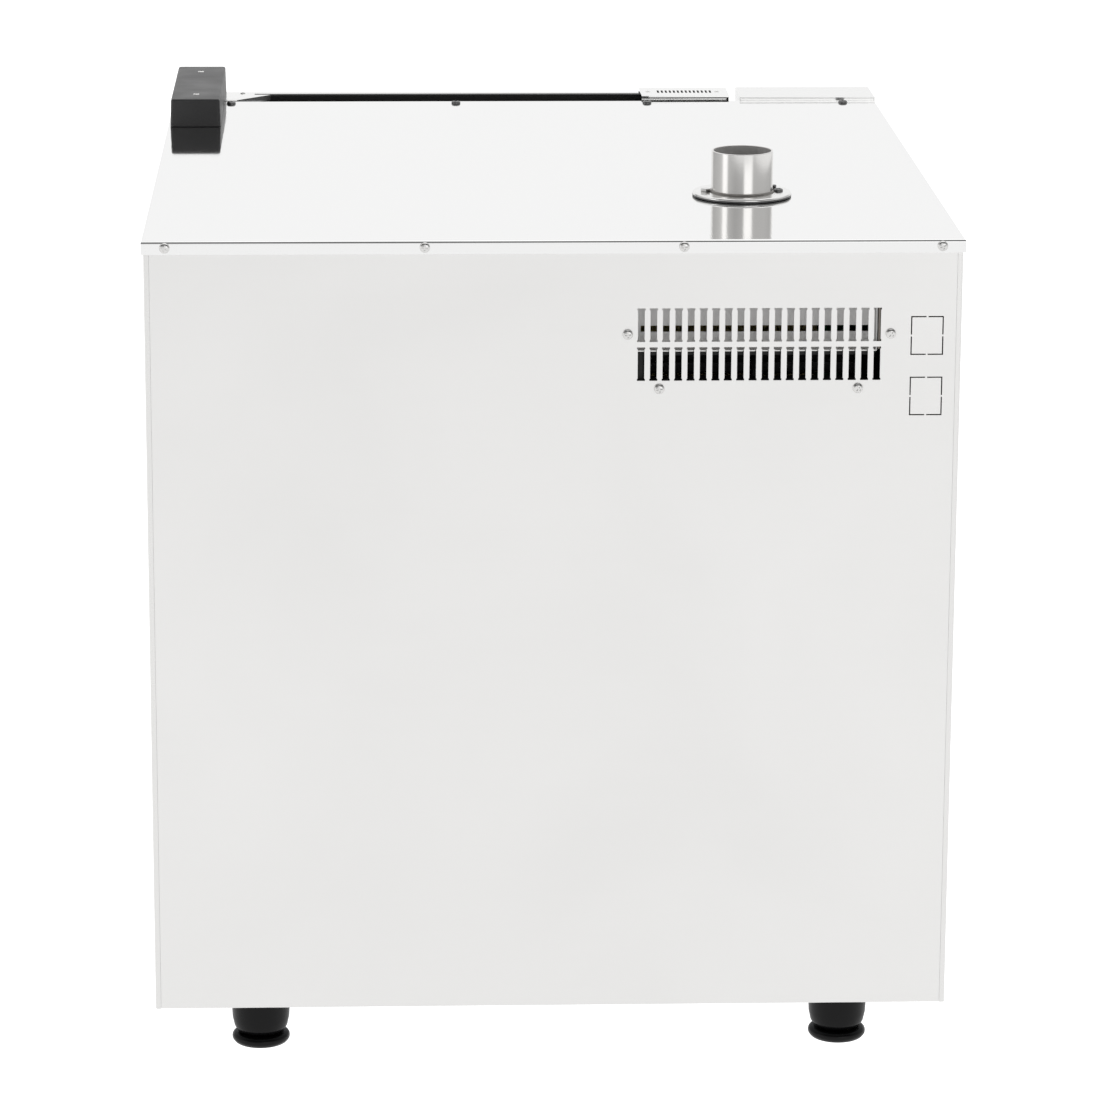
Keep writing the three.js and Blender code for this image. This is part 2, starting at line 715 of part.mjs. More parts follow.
function buildBlowerWheel() {
  const x = [blowerX[0] + 7, blowerX[1] - 7];
  const at = [0, blower.y, blower.z];
  const discs = [x[0], (x[0] + x[1]) / 2 - 1, x[1] - 2].map((from) =>
    cylinder("x", blower.radius, [from, from + 2], at, 18),
  );
  const vanes = range(9).map((i) => {
    const geometry = new THREE.BoxGeometry(x[1] - x[0] - 2, 1.4, 7);
    geometry.rotateX(0.5);
    geometry.translate((x[0] + x[1]) / 2, 0, blower.radius - 5);
    geometry.rotateX((i / 9) * 2 * Math.PI);
    geometry.translate(0, blower.y, blower.z);
    return solidOf(geometry);
  });
  const axle = cylinder("x", blower.axle, [blowerX[0] + 0.5, blowerX[1] - 0.5], at, 10);
  return joined(discs, vanes, axle);
}
add("blower_wheel", buildBlowerWheel(), blackPlastic);

// ---------------------------------------------------------------- boards
const boardX = left + panelInset + 5;

function buildPowerBoard() {
  const y = around(fan.y - 20, 105);
  const z = [top - 250, top - 66];
  const board = block([boardX, boardX + 1.6], y, z);
  const relays = range(6).map((i) =>
    block([boardX + 1, boardX + 19], around(y[0] + 24 + i * 30, 11), [z[0] + 14, z[0] + 42]),
  );
  const capacitors = range(3).map((i) =>
    cylinder("x", 11, [boardX + 1, boardX + 34], [0, y[0] + 28 + i * 27, z[0] + 78], 14),
  );
  const transformer = block([boardX + 1, boardX + 42], [y[1] - 84, y[1] - 24], [z[0] + 68, z[0] + 124]);
  const terminals = block([boardX + 1, boardX + 16], [y[0] + 20, y[1] - 20], [z[1] - 26, z[1] - 10]);
  return joined(board, relays, capacitors, transformer, terminals);
}
add("power_board", buildPowerBoard(), circuitGreen);

// ---------------------------------------------------------------- flue, flange, damper
const damper = { z: top - 30, radius: flueRadius - flueWall - 0.6, spindle: 3 };
const damperMotorX = flue.x - flueRadius - 5;

function buildFlueTube() {
  const z = [chamber.roof + sheet + gap, top + flueRise];
  const at = [flue.x, flue.y, 0];
  return cut(
    cylinder("z", flueRadius, z, at, 32),
    cylinder("z", flueRadius - flueWall, [z[0] - 1, z[1] + 1], at, 32),
    cylinder("x", damper.spindle + 0.5, around(flue.x, flueRadius + 2), [0, flue.y, damper.z], 12),
  );
}
add("flue_tube", buildFlueTube(), polishedSteel);

function buildFlueFlange() {
  const z = [top + gap, flueFlangeTop];
  return cut(
    cylinder("z", flueFlange.radius, z, [flue.x, flue.y, 0], 32),
    cylinder("z", flueRadius + gap, [z[0] - 1, z[1] + 1], [flue.x, flue.y, 0], 32),
    [-1, 1].map((side) =>
      cylinder("z", 2.3, [z[0] - 1, z[1] + 1], [flue.x + side * flueFlange.screwOffset, flue.y, 0], 12),
    ),
  );
}
add("flue_flange", buildFlueFlange(), polishedSteel);

function buildDamperDisc() {
  const spindleX = [damperMotorX - 8, flue.x + flueRadius - 0.5];
  return joined(
    cylinder("z", damper.radius, around(damper.z, 0.75), [flue.x, flue.y, 0], 32),
    cylinder("x", damper.spindle, spindleX, [0, flue.y, damper.z], 12),
  );
}
add("damper_disc", buildDamperDisc(), polishedSteel);

function buildDamperMotor() {
  return cut(
    joined(
      block([damperMotorX - 26, damperMotorX], around(flue.y, 17), around(damper.z, 14)),
      cylinder("x", 12, [damperMotorX - 44, damperMotorX - 25], [0, flue.y, damper.z], 20),
    ),
    cylinder("x", damper.spindle + 0.5, [damperMotorX - 12, damperMotorX + 1], [0, flue.y, damper.z], 12),
  );
}
add("damper_motor", buildDamperMotor(), blackPlastic);

// ---------------------------------------------------------------- hinges
const hingePin = 5;
const hingeWall = 1.5; // of the inner frame in front of the pin
const hinge = { x: right - 16, y: frameBackY + gap + hingeWall + hingePin };
const hingeCover = { half: 20.75, wall: 2.5, rise: 23, length: 182, nose: 22 };
const hingeCoverY = [hinge.y - hingeCover.nose, hinge.y - hingeCover.nose + hingeCover.length];
const hingeCoverX = right - 23.2; // middle of the cover
const hingePinDrop = 22; // of each pin into the door
const bracket = { thickness: 4, half: 12 };

function buildHingeCover() {
  const x = around(hingeCoverX, hingeCover.half);
  const z = [top + gap, top + hingeCover.rise];
  return cut(
    block(x, hingeCoverY, z),
    block(
      [x[0] + hingeCover.wall, x[1] - hingeCover.wall],
      [hingeCoverY[0] + hingeCover.wall, hingeCoverY[1] - hingeCover.wall],
      [z[0] - 1, z[1] - hingeCover.wall],
    ),
    [hingeCoverY[0] + 32, hingeCoverY[1] - 27].map((y) =>
      cylinder("z", 2.6, [z[1] - 5, z[1] + 1], [hingeCoverX, y, 0], 16),
    ),
  );
}
add("hinge_cover", buildHingeCover(), blackPlastic);

function buildTopHinge() {
  const x = around(hinge.x - 5, bracket.half);
  const z = [top + gap, top + gap + bracket.thickness];
  const y = [hinge.y - 12, hingeCoverY[1] - 12];
  return joined(
    block(x, y, z),
    cylinder("z", hingePin, [doorTop - hingePinDrop, z[1] - 0.5], [hinge.x, hinge.y, 0], 24),
  );
}
add("top_hinge", buildTopHinge(), galvanised);

function buildBottomHinge() {
  const x = around(hinge.x - 3, bracket.half);
  const z = [base - gap - bracket.thickness, base - gap];
  return joined(
    block(x, [hinge.y - 12, front + 46], z),
    cylinder("z", hingePin, [z[0] + 0.5, doorBottom + hingePinDrop], [hinge.x, hinge.y, 0], 24),
  );
}
add("bottom_hinge", buildBottomHinge(), galvanised);

// ---------------------------------------------------------------- door
const doorLip = 14; // of the outer frame over the glass
const ventPlate = { width: 77, slots: 14, pitch: 3.45, slot: 1.7, length: 12 };
const innerFrameTop = doorTop - 12;
const innerGlass = { thickness: 4, margin: 20 };
const innerGlassY = [doorBack - innerGlass.thickness, doorBack];
const carrierBack = innerGlassY[0] - gap;
const boreRadius = hingePin + 0.4;

const pinBores = () => [
  cylinder("z", boreRadius, [doorTop - hingePinDrop - 2, doorTop + 1], [hinge.x, hinge.y, 0], 24),
  cylinder("z", boreRadius, [doorBottom - 1, doorBottom + hingePinDrop + 2], [hinge.x, hinge.y, 0], 24),
];

// The outer frame is a folded stainless ring. Its top is left open over the vent plate.
function buildDoorFrame() {
  const outer = block([doorLeft, doorRight], [doorFront, frameBackY], [doorBottom, doorTop]);
  const hollow = block(
    [doorLeft + sheet, doorRight - sheet],
    [doorFront + sheet, frameBackY + 1],
    [doorBottom + sheet, doorTop - sheet],
  );
  const view = block(
    [doorLeft + doorLip, doorRight - doorLip],
    [doorFront - 1, doorFront + 3],
    [doorBottom + doorLip, doorTop - doorLip],
  );
  const ventRecess = block(
    [doorLeft + sheet, doorLeft + ventPlate.width + gap],
    [doorFront + sheet, frameBackY + 1],
    [doorTop - 2, doorTop + 1],
  );
  return cut(outer, hollow, view, ventRecess);
}
add("door_frame", buildDoorFrame(), stainless);

// Fourteen short slots let hot air out of the latch side of the door.
function buildVentPlate() {
  const x = [doorLeft + sheet + gap, doorLeft + ventPlate.width];
  const y = [doorFront + sheet + gap, doorBack];
  const z = [doorTop - sheet, doorTop];
  const middle = (x[0] + x[1]) / 2;
  const slots = range(ventPlate.slots).map((i) =>
    block(
      around(middle + (i - (ventPlate.slots - 1) / 2) * ventPlate.pitch, ventPlate.slot / 2),
      around((y[0] + y[1]) / 2, ventPlate.length / 2),
      [z[0] - 1, z[1] + 1],
    ),
  );
  return cut(block(x, y, z), slots);
}
add("door_vent_plate", buildVentPlate(), stainless);

// The hinge-side plate closes the top of the door round the pin. Its free end is cut at a slant.
function buildDoorHingePlate() {
  const y = [frameBackY + gap, doorBack];
  const outline = [
    [doorRight - 79, y[0]],
    [doorRight - sheet, y[0]],
    [doorRight - sheet, y[1]],
    [doorRight - 51, y[1]],
  ];
  return cut(slab(outline, [doorTop - 2, doorTop]), pinBores());
}
add("door_hinge_plate", buildDoorHingePlate(), stainless);

const glassEdge = sheet + gap;
function buildOuterGlass() {
  const pane = block(
    [doorLeft + glassEdge, doorRight - glassEdge],
    [doorFront + glassEdge, doorFront + glassEdge + 5],
    [doorBottom + glassEdge, doorTop - 4],
  );
  return cut(pane, cylinder("y", 9, around(doorFront, 12), [latch.x, 0, latch.z], 20));
}
add("door_outer_glass", buildOuterGlass(), darkGlass);

// The inner frame is a deep moulded ring round the view, which carries the hinge pins and the inner glass.
function buildInnerFrame() {
  const y = [frameBackY + gap, carrierBack];
  const sight = { x: [mouth.left + 10, mouth.right - 10], z: [mouth.bottom + 10, mouth.top - 10] };
  return cut(
    block([doorLeft + 2, doorRight - 2], y, [doorBottom + 2, innerFrameTop]),
    block(sight.x, [y[0] - 2, y[1] + 2], sight.z),
    cylinder("y", 9, [y[0] - 2, y[1] + 2], [latch.x, 0, latch.z], 20),
    pinBores(),
  );
}
add("door_inner_frame", buildInnerFrame(), blackPlastic);

add(
  "door_inner_glass",
  block(
    [mouth.left - innerGlass.margin, mouth.right + innerGlass.margin],
    innerGlassY,
    [mouth.bottom - innerGlass.margin, mouth.top + innerGlass.margin],
  ),
  clearGlass,
);

// ---------------------------------------------------------------- handle
const lever = { hub: 22, half: 13, up: 22, down: 168, thickness: 18, tip: 13 };
const handleFront = doorFront - handleReach;
const spindleRadius = 6;
const boss = { radius: 27, thickness: 5 };

function buildHandleBoss() {
  const y = [doorFront - gap - boss.thickness, doorFront - gap];
  return cut(
    joined(
      cylinder("y", boss.radius, y, [latch.x, 0, latch.z], 32),
      cylinder("y", 8.5, [doorFront - gap - 1, doorFront + 14], [latch.x, 0, latch.z], 20),
    ),
    cylinder("y", spindleRadius + 0.4, [y[0] - 1, doorFront + 15], [latch.x, 0, latch.z], 20),
  );
}
add("handle_boss", buildHandleBoss(), blackPlastic);

// The lever stands clear of the door on its hub, and hangs down from it.
function buildHandle() {
  const hubBack = doorFront - gap - boss.thickness - gap;
  const barY = [handleFront, handleFront + lever.thickness];
  const at = [latch.x, 0, latch.z];
  const tipZ = latch.z - lever.down + lever.half;
  return cut(
    joined(
      cylinder("y", lever.hub, [handleFront, hubBack], at, 28),
      block(around(latch.x, lever.half), barY, [tipZ, latch.z]),
      cylinder("y", lever.half, barY, [latch.x, 0, tipZ], 24),
    ),
    cylinder("y", spindleRadius + 0.3, [handleFront + 6, hubBack + 1], at, 20),
  );
}
add("door_handle", buildHandle(), blackPlastic);

function buildSpindle() {
  const at = [latch.x, 0, latch.z];
  return joined(
    cylinder("y", spindleRadius, [handleFront + 8, doorBack], at, 20),
    block(around(latch.x, 6), [doorBack - 1, doorBack + 9], [latch.z - 6, latch.z + latch.cam]),
  );
}
add("latch_spindle", buildSpindle(), galvanised);

// ---------------------------------------------------------------- control column
const control = {
  x: [left, left + controlWidth],
  y: [front - controlDepth, front - gap],
  z: [base, top + 2.8],
  wall: 1.5,
};
const controlX = (control.x[0] + control.x[1]) / 2;
const knob = { z: base + 176, radius: 20, height: 20, shaft: 3 };
const button = { z: base + 96, radius: 11, proud: 3 };
const display = { half: 46, bottom: knob.z + knob.radius + 58, top: top - 34, thickness: 4 };

function buildControlHousing() {
  const [y0, y1] = control.y;
  const outer = block(control.x, control.y, control.z);
  const hollow = block(
    [control.x[0] + control.wall, control.x[1] - control.wall],
    [y0 + control.wall, y1 + 1],
    [control.z[0] + control.wall, control.z[1] - control.wall],
  );
  return cut(
    outer,
    hollow,
    block(around(controlX, display.half), [y0 - 1, y0 + 4], [display.bottom, display.top]),
    cylinder("y", knob.shaft + 2, [y0 - 1, y0 + 4], [controlX, 0, knob.z], 16),
    cylinder("y", button.radius + gap, [y0 - 1, y0 + 4], [controlX, 0, button.z], 28),
  );
}
add("control_housing", buildControlHousing(), stainless);

add(
  "control_glass",
  block(
    around(controlX, display.half - gap),
    [control.y[0] - 0.6, control.y[0] - 0.6 + display.thickness],
    [display.bottom + gap, display.top - gap],
  ),
  darkGlass,
);

const controlBoardY = control.y[0] + 16;
function buildControlBoard() {
  const board = block(around(controlX, 44), [controlBoardY, controlBoardY + 1.6], [base + 70, display.top - 6]);
  const encoder = block(around(controlX, 7), [controlBoardY - 7, controlBoardY + 1], around(knob.z, 7));
  const buttonSwitch = block(around(controlX, 6), [controlBoardY - 4, controlBoardY + 1], around(button.z, 6));
  const chips = range(4).map((i) =>
    block(around(controlX + (i % 2 ? 18 : -16), 9), [controlBoardY + 1, controlBoardY + 4], around(top - 110 - i * 52, 9)),
  );
  const socket = block(around(controlX, 26), [controlBoardY + 1, controlBoardY + 12], around(base + 130, 6));
  return joined(board, encoder, buttonSwitch, chips, socket);
}
add("control_board", buildControlBoard(), circuitGreen);

const knobBack = control.y[0] - 3;
add(
  "encoder_shaft",
  cylinder("y", knob.shaft, [knobBack - 14, controlBoardY - 7 - 2], [controlX, 0, knob.z], 16),
  galvanised,
);

function buildKnob() {
  const y = [knobBack - knob.height, knobBack];
  const at = [controlX, 0, knob.z];
  return cut(
    cylinder("y", knob.radius, y, at, 28),
    cylinder("y", knob.shaft + 0.3, [knobBack - 15, knobBack + 1], at, 16),
    block(around(controlX, 1), [y[0] - 1, y[0] + 1], [knob.z + 8, knob.z + knob.radius - 2]),
  );
}
add("encoder_knob", buildKnob(), blackPlastic);

add(
  "power_button",
  cylinder("y", button.radius, [control.y[0] - button.proud, controlBoardY - 4 - 3], [controlX, 0, button.z], 28),
  blackPlastic,
);

// ---------------------------------------------------------------- drip tray
const tray = { wall: 1.2, top: base - 4, floor: base - 17, front: doorFront + 2 };
function buildDripTray() {
  const x = [dripRail.x[0] + sheet + gap, dripRail.x[1] - sheet - gap];
  const y = [tray.front, dripRail.y[1]];
  return cut(
    block(x, y, [tray.floor, tray.top]),
    block(
      [x[0] + tray.wall, x[1] - tray.wall],
      [y[0] + tray.wall, y[1] - tray.wall],
      [tray.floor + tray.wall, tray.top + 1],
    ),
  );
}
add("drip_tray", buildDripTray(), stainless);

// ---------------------------------------------------------------- feet
const foot = { topRadius: 22.5, neckRadius: 20, padRadius: 22, padHeight: 13, fromSide: 80, fromFront: 60, fromBack: 34, stem: 5 };
const footPlaces = [
  ["front_left", left + foot.fromSide, front + foot.fromFront],
  ["front_right", right - foot.fromSide, front + foot.fromFront],
  ["rear_left", left + foot.fromSide, back - foot.fromBack],
  ["rear_right", right - foot.fromSide, back - foot.fromBack],
];
const sleeveBottom = foot.padHeight + 1;

function buildFootSleeve(x, y) {
  const sleeveTop = base - gap;
  const profile = [
    [0, sleeveBottom],
    [foot.neckRadius - 1.5, sleeveBottom],
    [foot.neckRadius, sleeveBottom + 2.5],
    [foot.topRadius, sleeveTop],
    [0, sleeveTop],
  ];
  const bore = cylinder("z", foot.stem + 0.5, [sleeveBottom - 1, sleeveTop - 3], [x, y, 0], 12);
  return cut(turned(profile, [x, y]), bore);
}

// The pad and its threaded stem turn in the sleeve to level the cabinet.
function buildFootPad(x, y) {
  const h = foot.padHeight;
  const profile = [
    [0, 0],
    [foot.padRadius - 3.5, 0],
    [foot.padRadius - 0.8, 2.5],
    [foot.padRadius, 6],
    [foot.padRadius - 0.8, h - 2],
    [foot.neckRadius - 2.5, h],
    [0, h],
  ];
  const stem = cylinder("z", foot.stem, [h - 1, base - 5], [x, y, 0], 12);
  return joined(turned(profile, [x, y]), stem);
}

for (const [place, x, y] of footPlaces) {
  add(`foot_sleeve_${place}`, buildFootSleeve(x, y), footPlastic);
  add(`foot_pad_${place}`, buildFootPad(x, y), footPlastic);
}

export default oven;
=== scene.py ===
import json
import math

import bpy
from mathutils import Matrix, Vector

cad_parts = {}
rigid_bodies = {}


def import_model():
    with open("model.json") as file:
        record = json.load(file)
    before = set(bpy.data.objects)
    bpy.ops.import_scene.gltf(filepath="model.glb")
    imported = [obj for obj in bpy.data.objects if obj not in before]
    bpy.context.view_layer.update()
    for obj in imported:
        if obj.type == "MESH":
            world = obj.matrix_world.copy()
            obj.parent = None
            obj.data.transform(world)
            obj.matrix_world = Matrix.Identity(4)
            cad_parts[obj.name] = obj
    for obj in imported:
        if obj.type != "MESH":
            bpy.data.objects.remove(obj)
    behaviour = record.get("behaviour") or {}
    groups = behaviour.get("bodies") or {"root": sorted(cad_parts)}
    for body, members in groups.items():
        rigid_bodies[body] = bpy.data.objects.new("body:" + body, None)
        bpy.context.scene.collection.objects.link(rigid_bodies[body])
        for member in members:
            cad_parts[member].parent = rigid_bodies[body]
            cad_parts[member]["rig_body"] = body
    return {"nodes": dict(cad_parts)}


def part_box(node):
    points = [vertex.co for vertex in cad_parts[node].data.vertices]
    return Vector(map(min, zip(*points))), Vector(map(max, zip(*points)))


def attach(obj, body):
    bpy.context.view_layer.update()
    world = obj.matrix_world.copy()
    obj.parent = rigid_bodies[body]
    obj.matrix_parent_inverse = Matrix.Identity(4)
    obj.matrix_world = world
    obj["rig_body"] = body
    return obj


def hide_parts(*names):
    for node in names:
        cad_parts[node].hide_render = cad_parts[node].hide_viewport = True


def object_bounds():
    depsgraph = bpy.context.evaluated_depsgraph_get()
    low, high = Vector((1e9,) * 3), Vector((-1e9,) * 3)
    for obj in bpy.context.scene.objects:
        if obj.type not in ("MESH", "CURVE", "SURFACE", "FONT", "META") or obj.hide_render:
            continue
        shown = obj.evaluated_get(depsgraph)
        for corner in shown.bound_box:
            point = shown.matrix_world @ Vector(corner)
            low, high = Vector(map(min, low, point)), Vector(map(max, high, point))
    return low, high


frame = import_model()
cad_low, cad_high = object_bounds()

# ---------------------------------------------------------------- camera
# A long lens behind the oven, a little above it and turned slightly to one side.
CAMERA_PLACE = Vector((0.138, 3.7859, 1.2722))
CAMERA_PITCH = 0.25119
CAMERA_YAW = 0.0396
CAMERA_ROLL = 0.00435
camera_data = bpy.data.cameras.new("camera")
camera_data.sensor_width = 36
camera_data.lens = 156.8
camera_data.clip_end = 60
camera = bpy.data.objects.new("camera", camera_data)
bpy.context.scene.collection.objects.link(camera)
camera.matrix_world = (
    Matrix.Translation(CAMERA_PLACE)
    @ Matrix.Rotation(math.pi - CAMERA_YAW, 4, "Z")
    @ Matrix.Rotation(math.pi / 2 - CAMERA_PITCH, 4, "X")
    @ Matrix.Rotation(CAMERA_ROLL, 4, "Z")
)
bpy.context.scene.camera = camera
bpy.context.scene.view_settings.view_transform = "Standard"

# ---------------------------------------------------------------- studio
# A white sweep all round, darker at the sides so that polished metal has something to show. On the
# camera's side stand two tall soft boxes, and over them the room is dark up to a white ceiling.
def link(tree, source, target):
    tree.links.new(source, target)


def math_node(tree, operation, first, second=None, clamp=False):
    node = tree.nodes.new("ShaderNodeMath")
    node.operation = operation
    node.use_clamp = clamp
    for socket, value in zip(node.inputs, (first, second)):
        if hasattr(value, "links"):
            link(tree, value, socket)
        elif value is not None:
            socket.default_value = value
    return node.outputs[0]


def ramp_node(tree, factor, stops):
    node = tree.nodes.new("ShaderNodeValToRGB")
    elements = node.color_ramp.elements
    while len(elements) < len(stops):
        elements.new(0.5)
    for element, (place, shade) in zip(elements, stops):
        element.position = place
        element.color = (shade, shade, shade, 1)
    link(tree, factor, node.inputs[0])
    return node.outputs[0]


def mix_colours(tree, factor, first, second):
    node = tree.nodes.new("ShaderNodeMix")
    node.data_type = "RGBA"
    for socket, value in (("Factor", factor), ("A", first), ("B", second)):
        if hasattr(value, "links"):
            link(tree, value, node.inputs[socket])
        else:
            node.inputs[socket].default_value = value
    return node.outputs["Result"]


def around_the_room(degrees):
    """An angle from the camera's side, positive to its right, as a share of the full turn."""
    return 0.5 + degrees / 360


world = bpy.data.worlds.new("studio")
bpy.context.scene.world = world
world.use_nodes = True
sky = world.node_tree
sky.nodes.clear()
direction = sky.nodes.new("ShaderNodeTexCoord").outputs["Generated"]
split = sky.nodes.new("ShaderNodeSeparateXYZ")
link(sky, direction, split.inputs[0])
turn = math_node(sky, "ARCTAN2", math_node(sky, "MULTIPLY", split.outputs["X"], -1.0), split.outputs["Y"])
turn = math_node(sky, "ADD", math_node(sky, "DIVIDE", turn, 2 * math.pi), 0.5)
WALL_SHADES = [
    (-152, 1.0),
    (-140, 0.5),
    (-100, 0.6),
    (-84, 0.75),
    (-79, 1.45),
    (-63, 1.45),
    (-58, 0.6),
    (-28, 0.44),
    (1, 0.54),
    (6, 1.45),
    (31, 1.45),
    (38, 0.57),
    (85, 0.57),
    (130, 0.5),
    (152, 1.0),
]
walls = ramp_node(sky, turn, [(around_the_room(angle), shade) for angle, shade in WALL_SHADES])
ceiling_share = ramp_node(sky, split.outputs["Z"], [(0.0, 0.0), (0.28, 0.0), (0.5, 1.0)])
room = mix_colours(sky, ceiling_share, walls, (1.0, 1.0, 1.0, 1))
dark_side = ramp_node(
    sky, turn, [(around_the_room(a), s) for a, s in ((-95, 0.0), (-75, 1.0), (75, 1.0), (95, 0.0))]
)
box_tops = ramp_node(sky, split.outputs["Z"], [(0.21, 0.0), (0.26, 1.0)])
room = mix_colours(sky, math_node(sky, "MULTIPLY", dark_side, box_tops), room, (0.55, 0.55, 0.55, 1))
dark_height = ramp_node(sky, split.outputs["Z"], [(0.31, 0.0), (0.36, 1.0), (0.8, 1.0), (0.88, 0.0)])
room = mix_colours(sky, math_node(sky, "MULTIPLY", dark_side, dark_height), room, (0.1, 0.1, 0.1, 1))
seen = sky.nodes.new("ShaderNodeLightPath").outputs["Is Camera Ray"]
background = sky.nodes.new("ShaderNodeBackground")
link(sky, mix_colours(sky, seen, room, (1.2, 1.2, 1.2, 1)), background.inputs["Color"])
background.inputs["Strength"].default_value = 0.94
world_out = sky.nodes.new("ShaderNodeOutputWorld")
link(sky, background.outputs[0], world_out.inputs[0])

top_lamp = bpy.data.lights.new("top_lamp", "AREA")
top_lamp.size = 2.6
top_lamp.energy = 9
top_lamp_stand = bpy.data.objects.new("top_lamp", top_lamp)
top_lamp_stand.location = (-0.4, -0.4, 3.0)
bpy.context.scene.collection.objects.link(top_lamp_stand)

bpy.ops.mesh.primitive_plane_add(size=30, location=(0, 0, cad_low.z))
floor = bpy.context.object
floor.name = "floor"
floor_paint = bpy.data.materials.new("floor_paint")
floor_paint.use_nodes = True
floor_tree = floor_paint.node_tree
floor_shader = floor_tree.nodes["Principled BSDF"]
floor_shader.inputs["Base Color"].default_value = (0.1, 0.1, 0.1, 1)
floor_shader.inputs["Roughness"].default_value = 0.9
floor_shader.inputs["Specular IOR Level"].default_value = 0
floor_shader.inputs["Emission Color"].default_value = (1, 1, 1, 1)
floor_seen = floor_tree.nodes.new("ShaderNodeLightPath").outputs["Is Camera Ray"]
floor_glow = math_node(floor_tree, "MULTIPLY", floor_seen, 0.5)
link(floor_tree, math_node(floor_tree, "ADD", floor_glow, 0.86), floor_shader.inputs["Emission Strength"])
floor.data.materials.append(floor_paint)

# ---------------------------------------------------------------- base pan
# Zinc-coated sheet with turned-up edges and two rails for the drip tray. Everything else stands on it, and
# its sheared edges are slightly rounded.
MM = 0.001


def new_group(name, inputs, outputs):
    group = bpy.data.node_groups.new(name, "ShaderNodeTree")
    for socket_name, kind, value in inputs:
        socket = group.interface.new_socket(socket_name, in_out="INPUT", socket_type=kind)
        socket.default_value = value
    for socket_name, kind in outputs:
        group.interface.new_socket(socket_name, in_out="OUTPUT", socket_type=kind)
    return group, group.nodes.new("NodeGroupInput"), group.nodes.new("NodeGroupOutput")


def noise_node(tree, vector, scale, detail=2.0, distortion=0.0):
    node = tree.nodes.new("ShaderNodeTexNoise")
    node.inputs["Scale"].default_value = scale
    node.inputs["Detail"].default_value = detail
    node.inputs["Distortion"].default_value = distortion
    link(tree, vector, node.inputs["Vector"])
    return node.outputs[0]


def empty_material(name):
    material = bpy.data.materials.new(name)
    material.use_nodes = True
    return material, material.node_tree, material.node_tree.nodes["Principled BSDF"]


def bump_from(tree, shader, height, strength, distance):
    node = tree.nodes.new("ShaderNodeBump")
    node.inputs["Strength"].default_value = strength
    node.inputs["Distance"].default_value = distance
    link(tree, height, node.inputs["Height"])
    link(tree, node.outputs[0], shader.inputs["Normal"])


def speckled(name, colour, second, roughness, scale, bump, metallic=0.0, coat=0.0, distance=0.0003):
    """A cast, moulded or zinc-coated surface: fine grain over slow patches of a second shade."""
    material, tree, shader = empty_material(name)
    spot = tree.nodes.new("ShaderNodeTexCoord").outputs["Object"]
    fine = noise_node(tree, spot, scale, 3.0)
    broad = noise_node(tree, spot, scale / 30)
    fine_share = math_node(tree, "MULTIPLY", fine, 0.6)
    broad_share = math_node(tree, "MULTIPLY", broad, 0.5)
    share = math_node(tree, "ADD", fine_share, broad_share, True)
    link(tree, mix_colours(tree, share, (*colour, 1), (*second, 1)), shader.inputs["Base Color"])
    patches = math_node(tree, "MULTIPLY", math_node(tree, "SUBTRACT", broad, 0.5), 0.25)
    link(tree, math_node(tree, "ADD", patches, roughness, True), shader.inputs["Roughness"])
    shader.inputs["Metallic"].default_value = metallic
    shader.inputs["Coat Weight"].default_value = coat
    bump_from(tree, shader, fine, bump, distance)
    return material


def only(piece):
    bpy.ops.object.select_all(action="DESELECT")
    piece.select_set(True)
    bpy.context.view_layer.objects.active = piece


def apply_modifier(piece, kind, **settings):
    modifier = piece.modifiers.new(kind, kind)
    for setting, value in settings.items():
        setattr(modifier, setting, value)
    only(piece)
    bpy.ops.object.modifier_apply(modifier=modifier.name)


def round_edges(piece, radius, segments=2, angle=35):
    apply_modifier(
        piece, "BEVEL", width=radius, segments=segments,
        limit_method="ANGLE", angle_limit=math.radians(angle),
    )


def merged_copy(node, name):
    """A copy of a CAD part as one closed skin, its flat faces whole."""
    piece = bpy.data.objects.new(name, frame["nodes"][node].data.copy())
    bpy.context.scene.collection.objects.link(piece)
    only(piece)
    bpy.ops.mesh.customdata_custom_splitnormals_clear()
    bpy.ops.object.mode_set(mode="EDIT")
    bpy.ops.mesh.select_all(action="SELECT")
    bpy.ops.mesh.remove_doubles(threshold=0.002 * MM)
    bpy.ops.mesh.dissolve_limited(angle_limit=math.radians(0.4))
    bpy.ops.object.mode_set(mode="OBJECT")
    return piece


def fit(piece, material, body, smooth=35):
    """The piece gets its finish and a clean shading, and moves with its body."""
    piece.data.materials.clear()
    piece.data.materials.append(material)
    only(piece)
    bpy.ops.object.shade_smooth_by_angle(angle=math.radians(smooth))
    apply_modifier(piece, "WEIGHTED_NORMAL", keep_sharp=True)
    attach(piece, body)


def fit_for(piece, material, *nodes, smooth=35):
    """The same for a piece that stands for CAD parts: it moves with the first one's body, in the finish
    given, and the CAD parts are hidden.
    """
    fit(piece, material, frame["nodes"][nodes[0]]["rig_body"], smooth)
    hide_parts(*nodes)


def softened(node, material, radius, segments=2):
    """A CAD part with its edges rounded."""
    piece = merged_copy(node, "finished_" + node)
    round_edges(piece, radius, segments)
    fit_for(piece, material, node)
    return piece


zinc = speckled("zinc", (0.5, 0.51, 0.52), (0.36, 0.37, 0.39), 0.42, 90, 0.1, metallic=0.9)
softened("base_pan", zinc, 0.3 * MM)

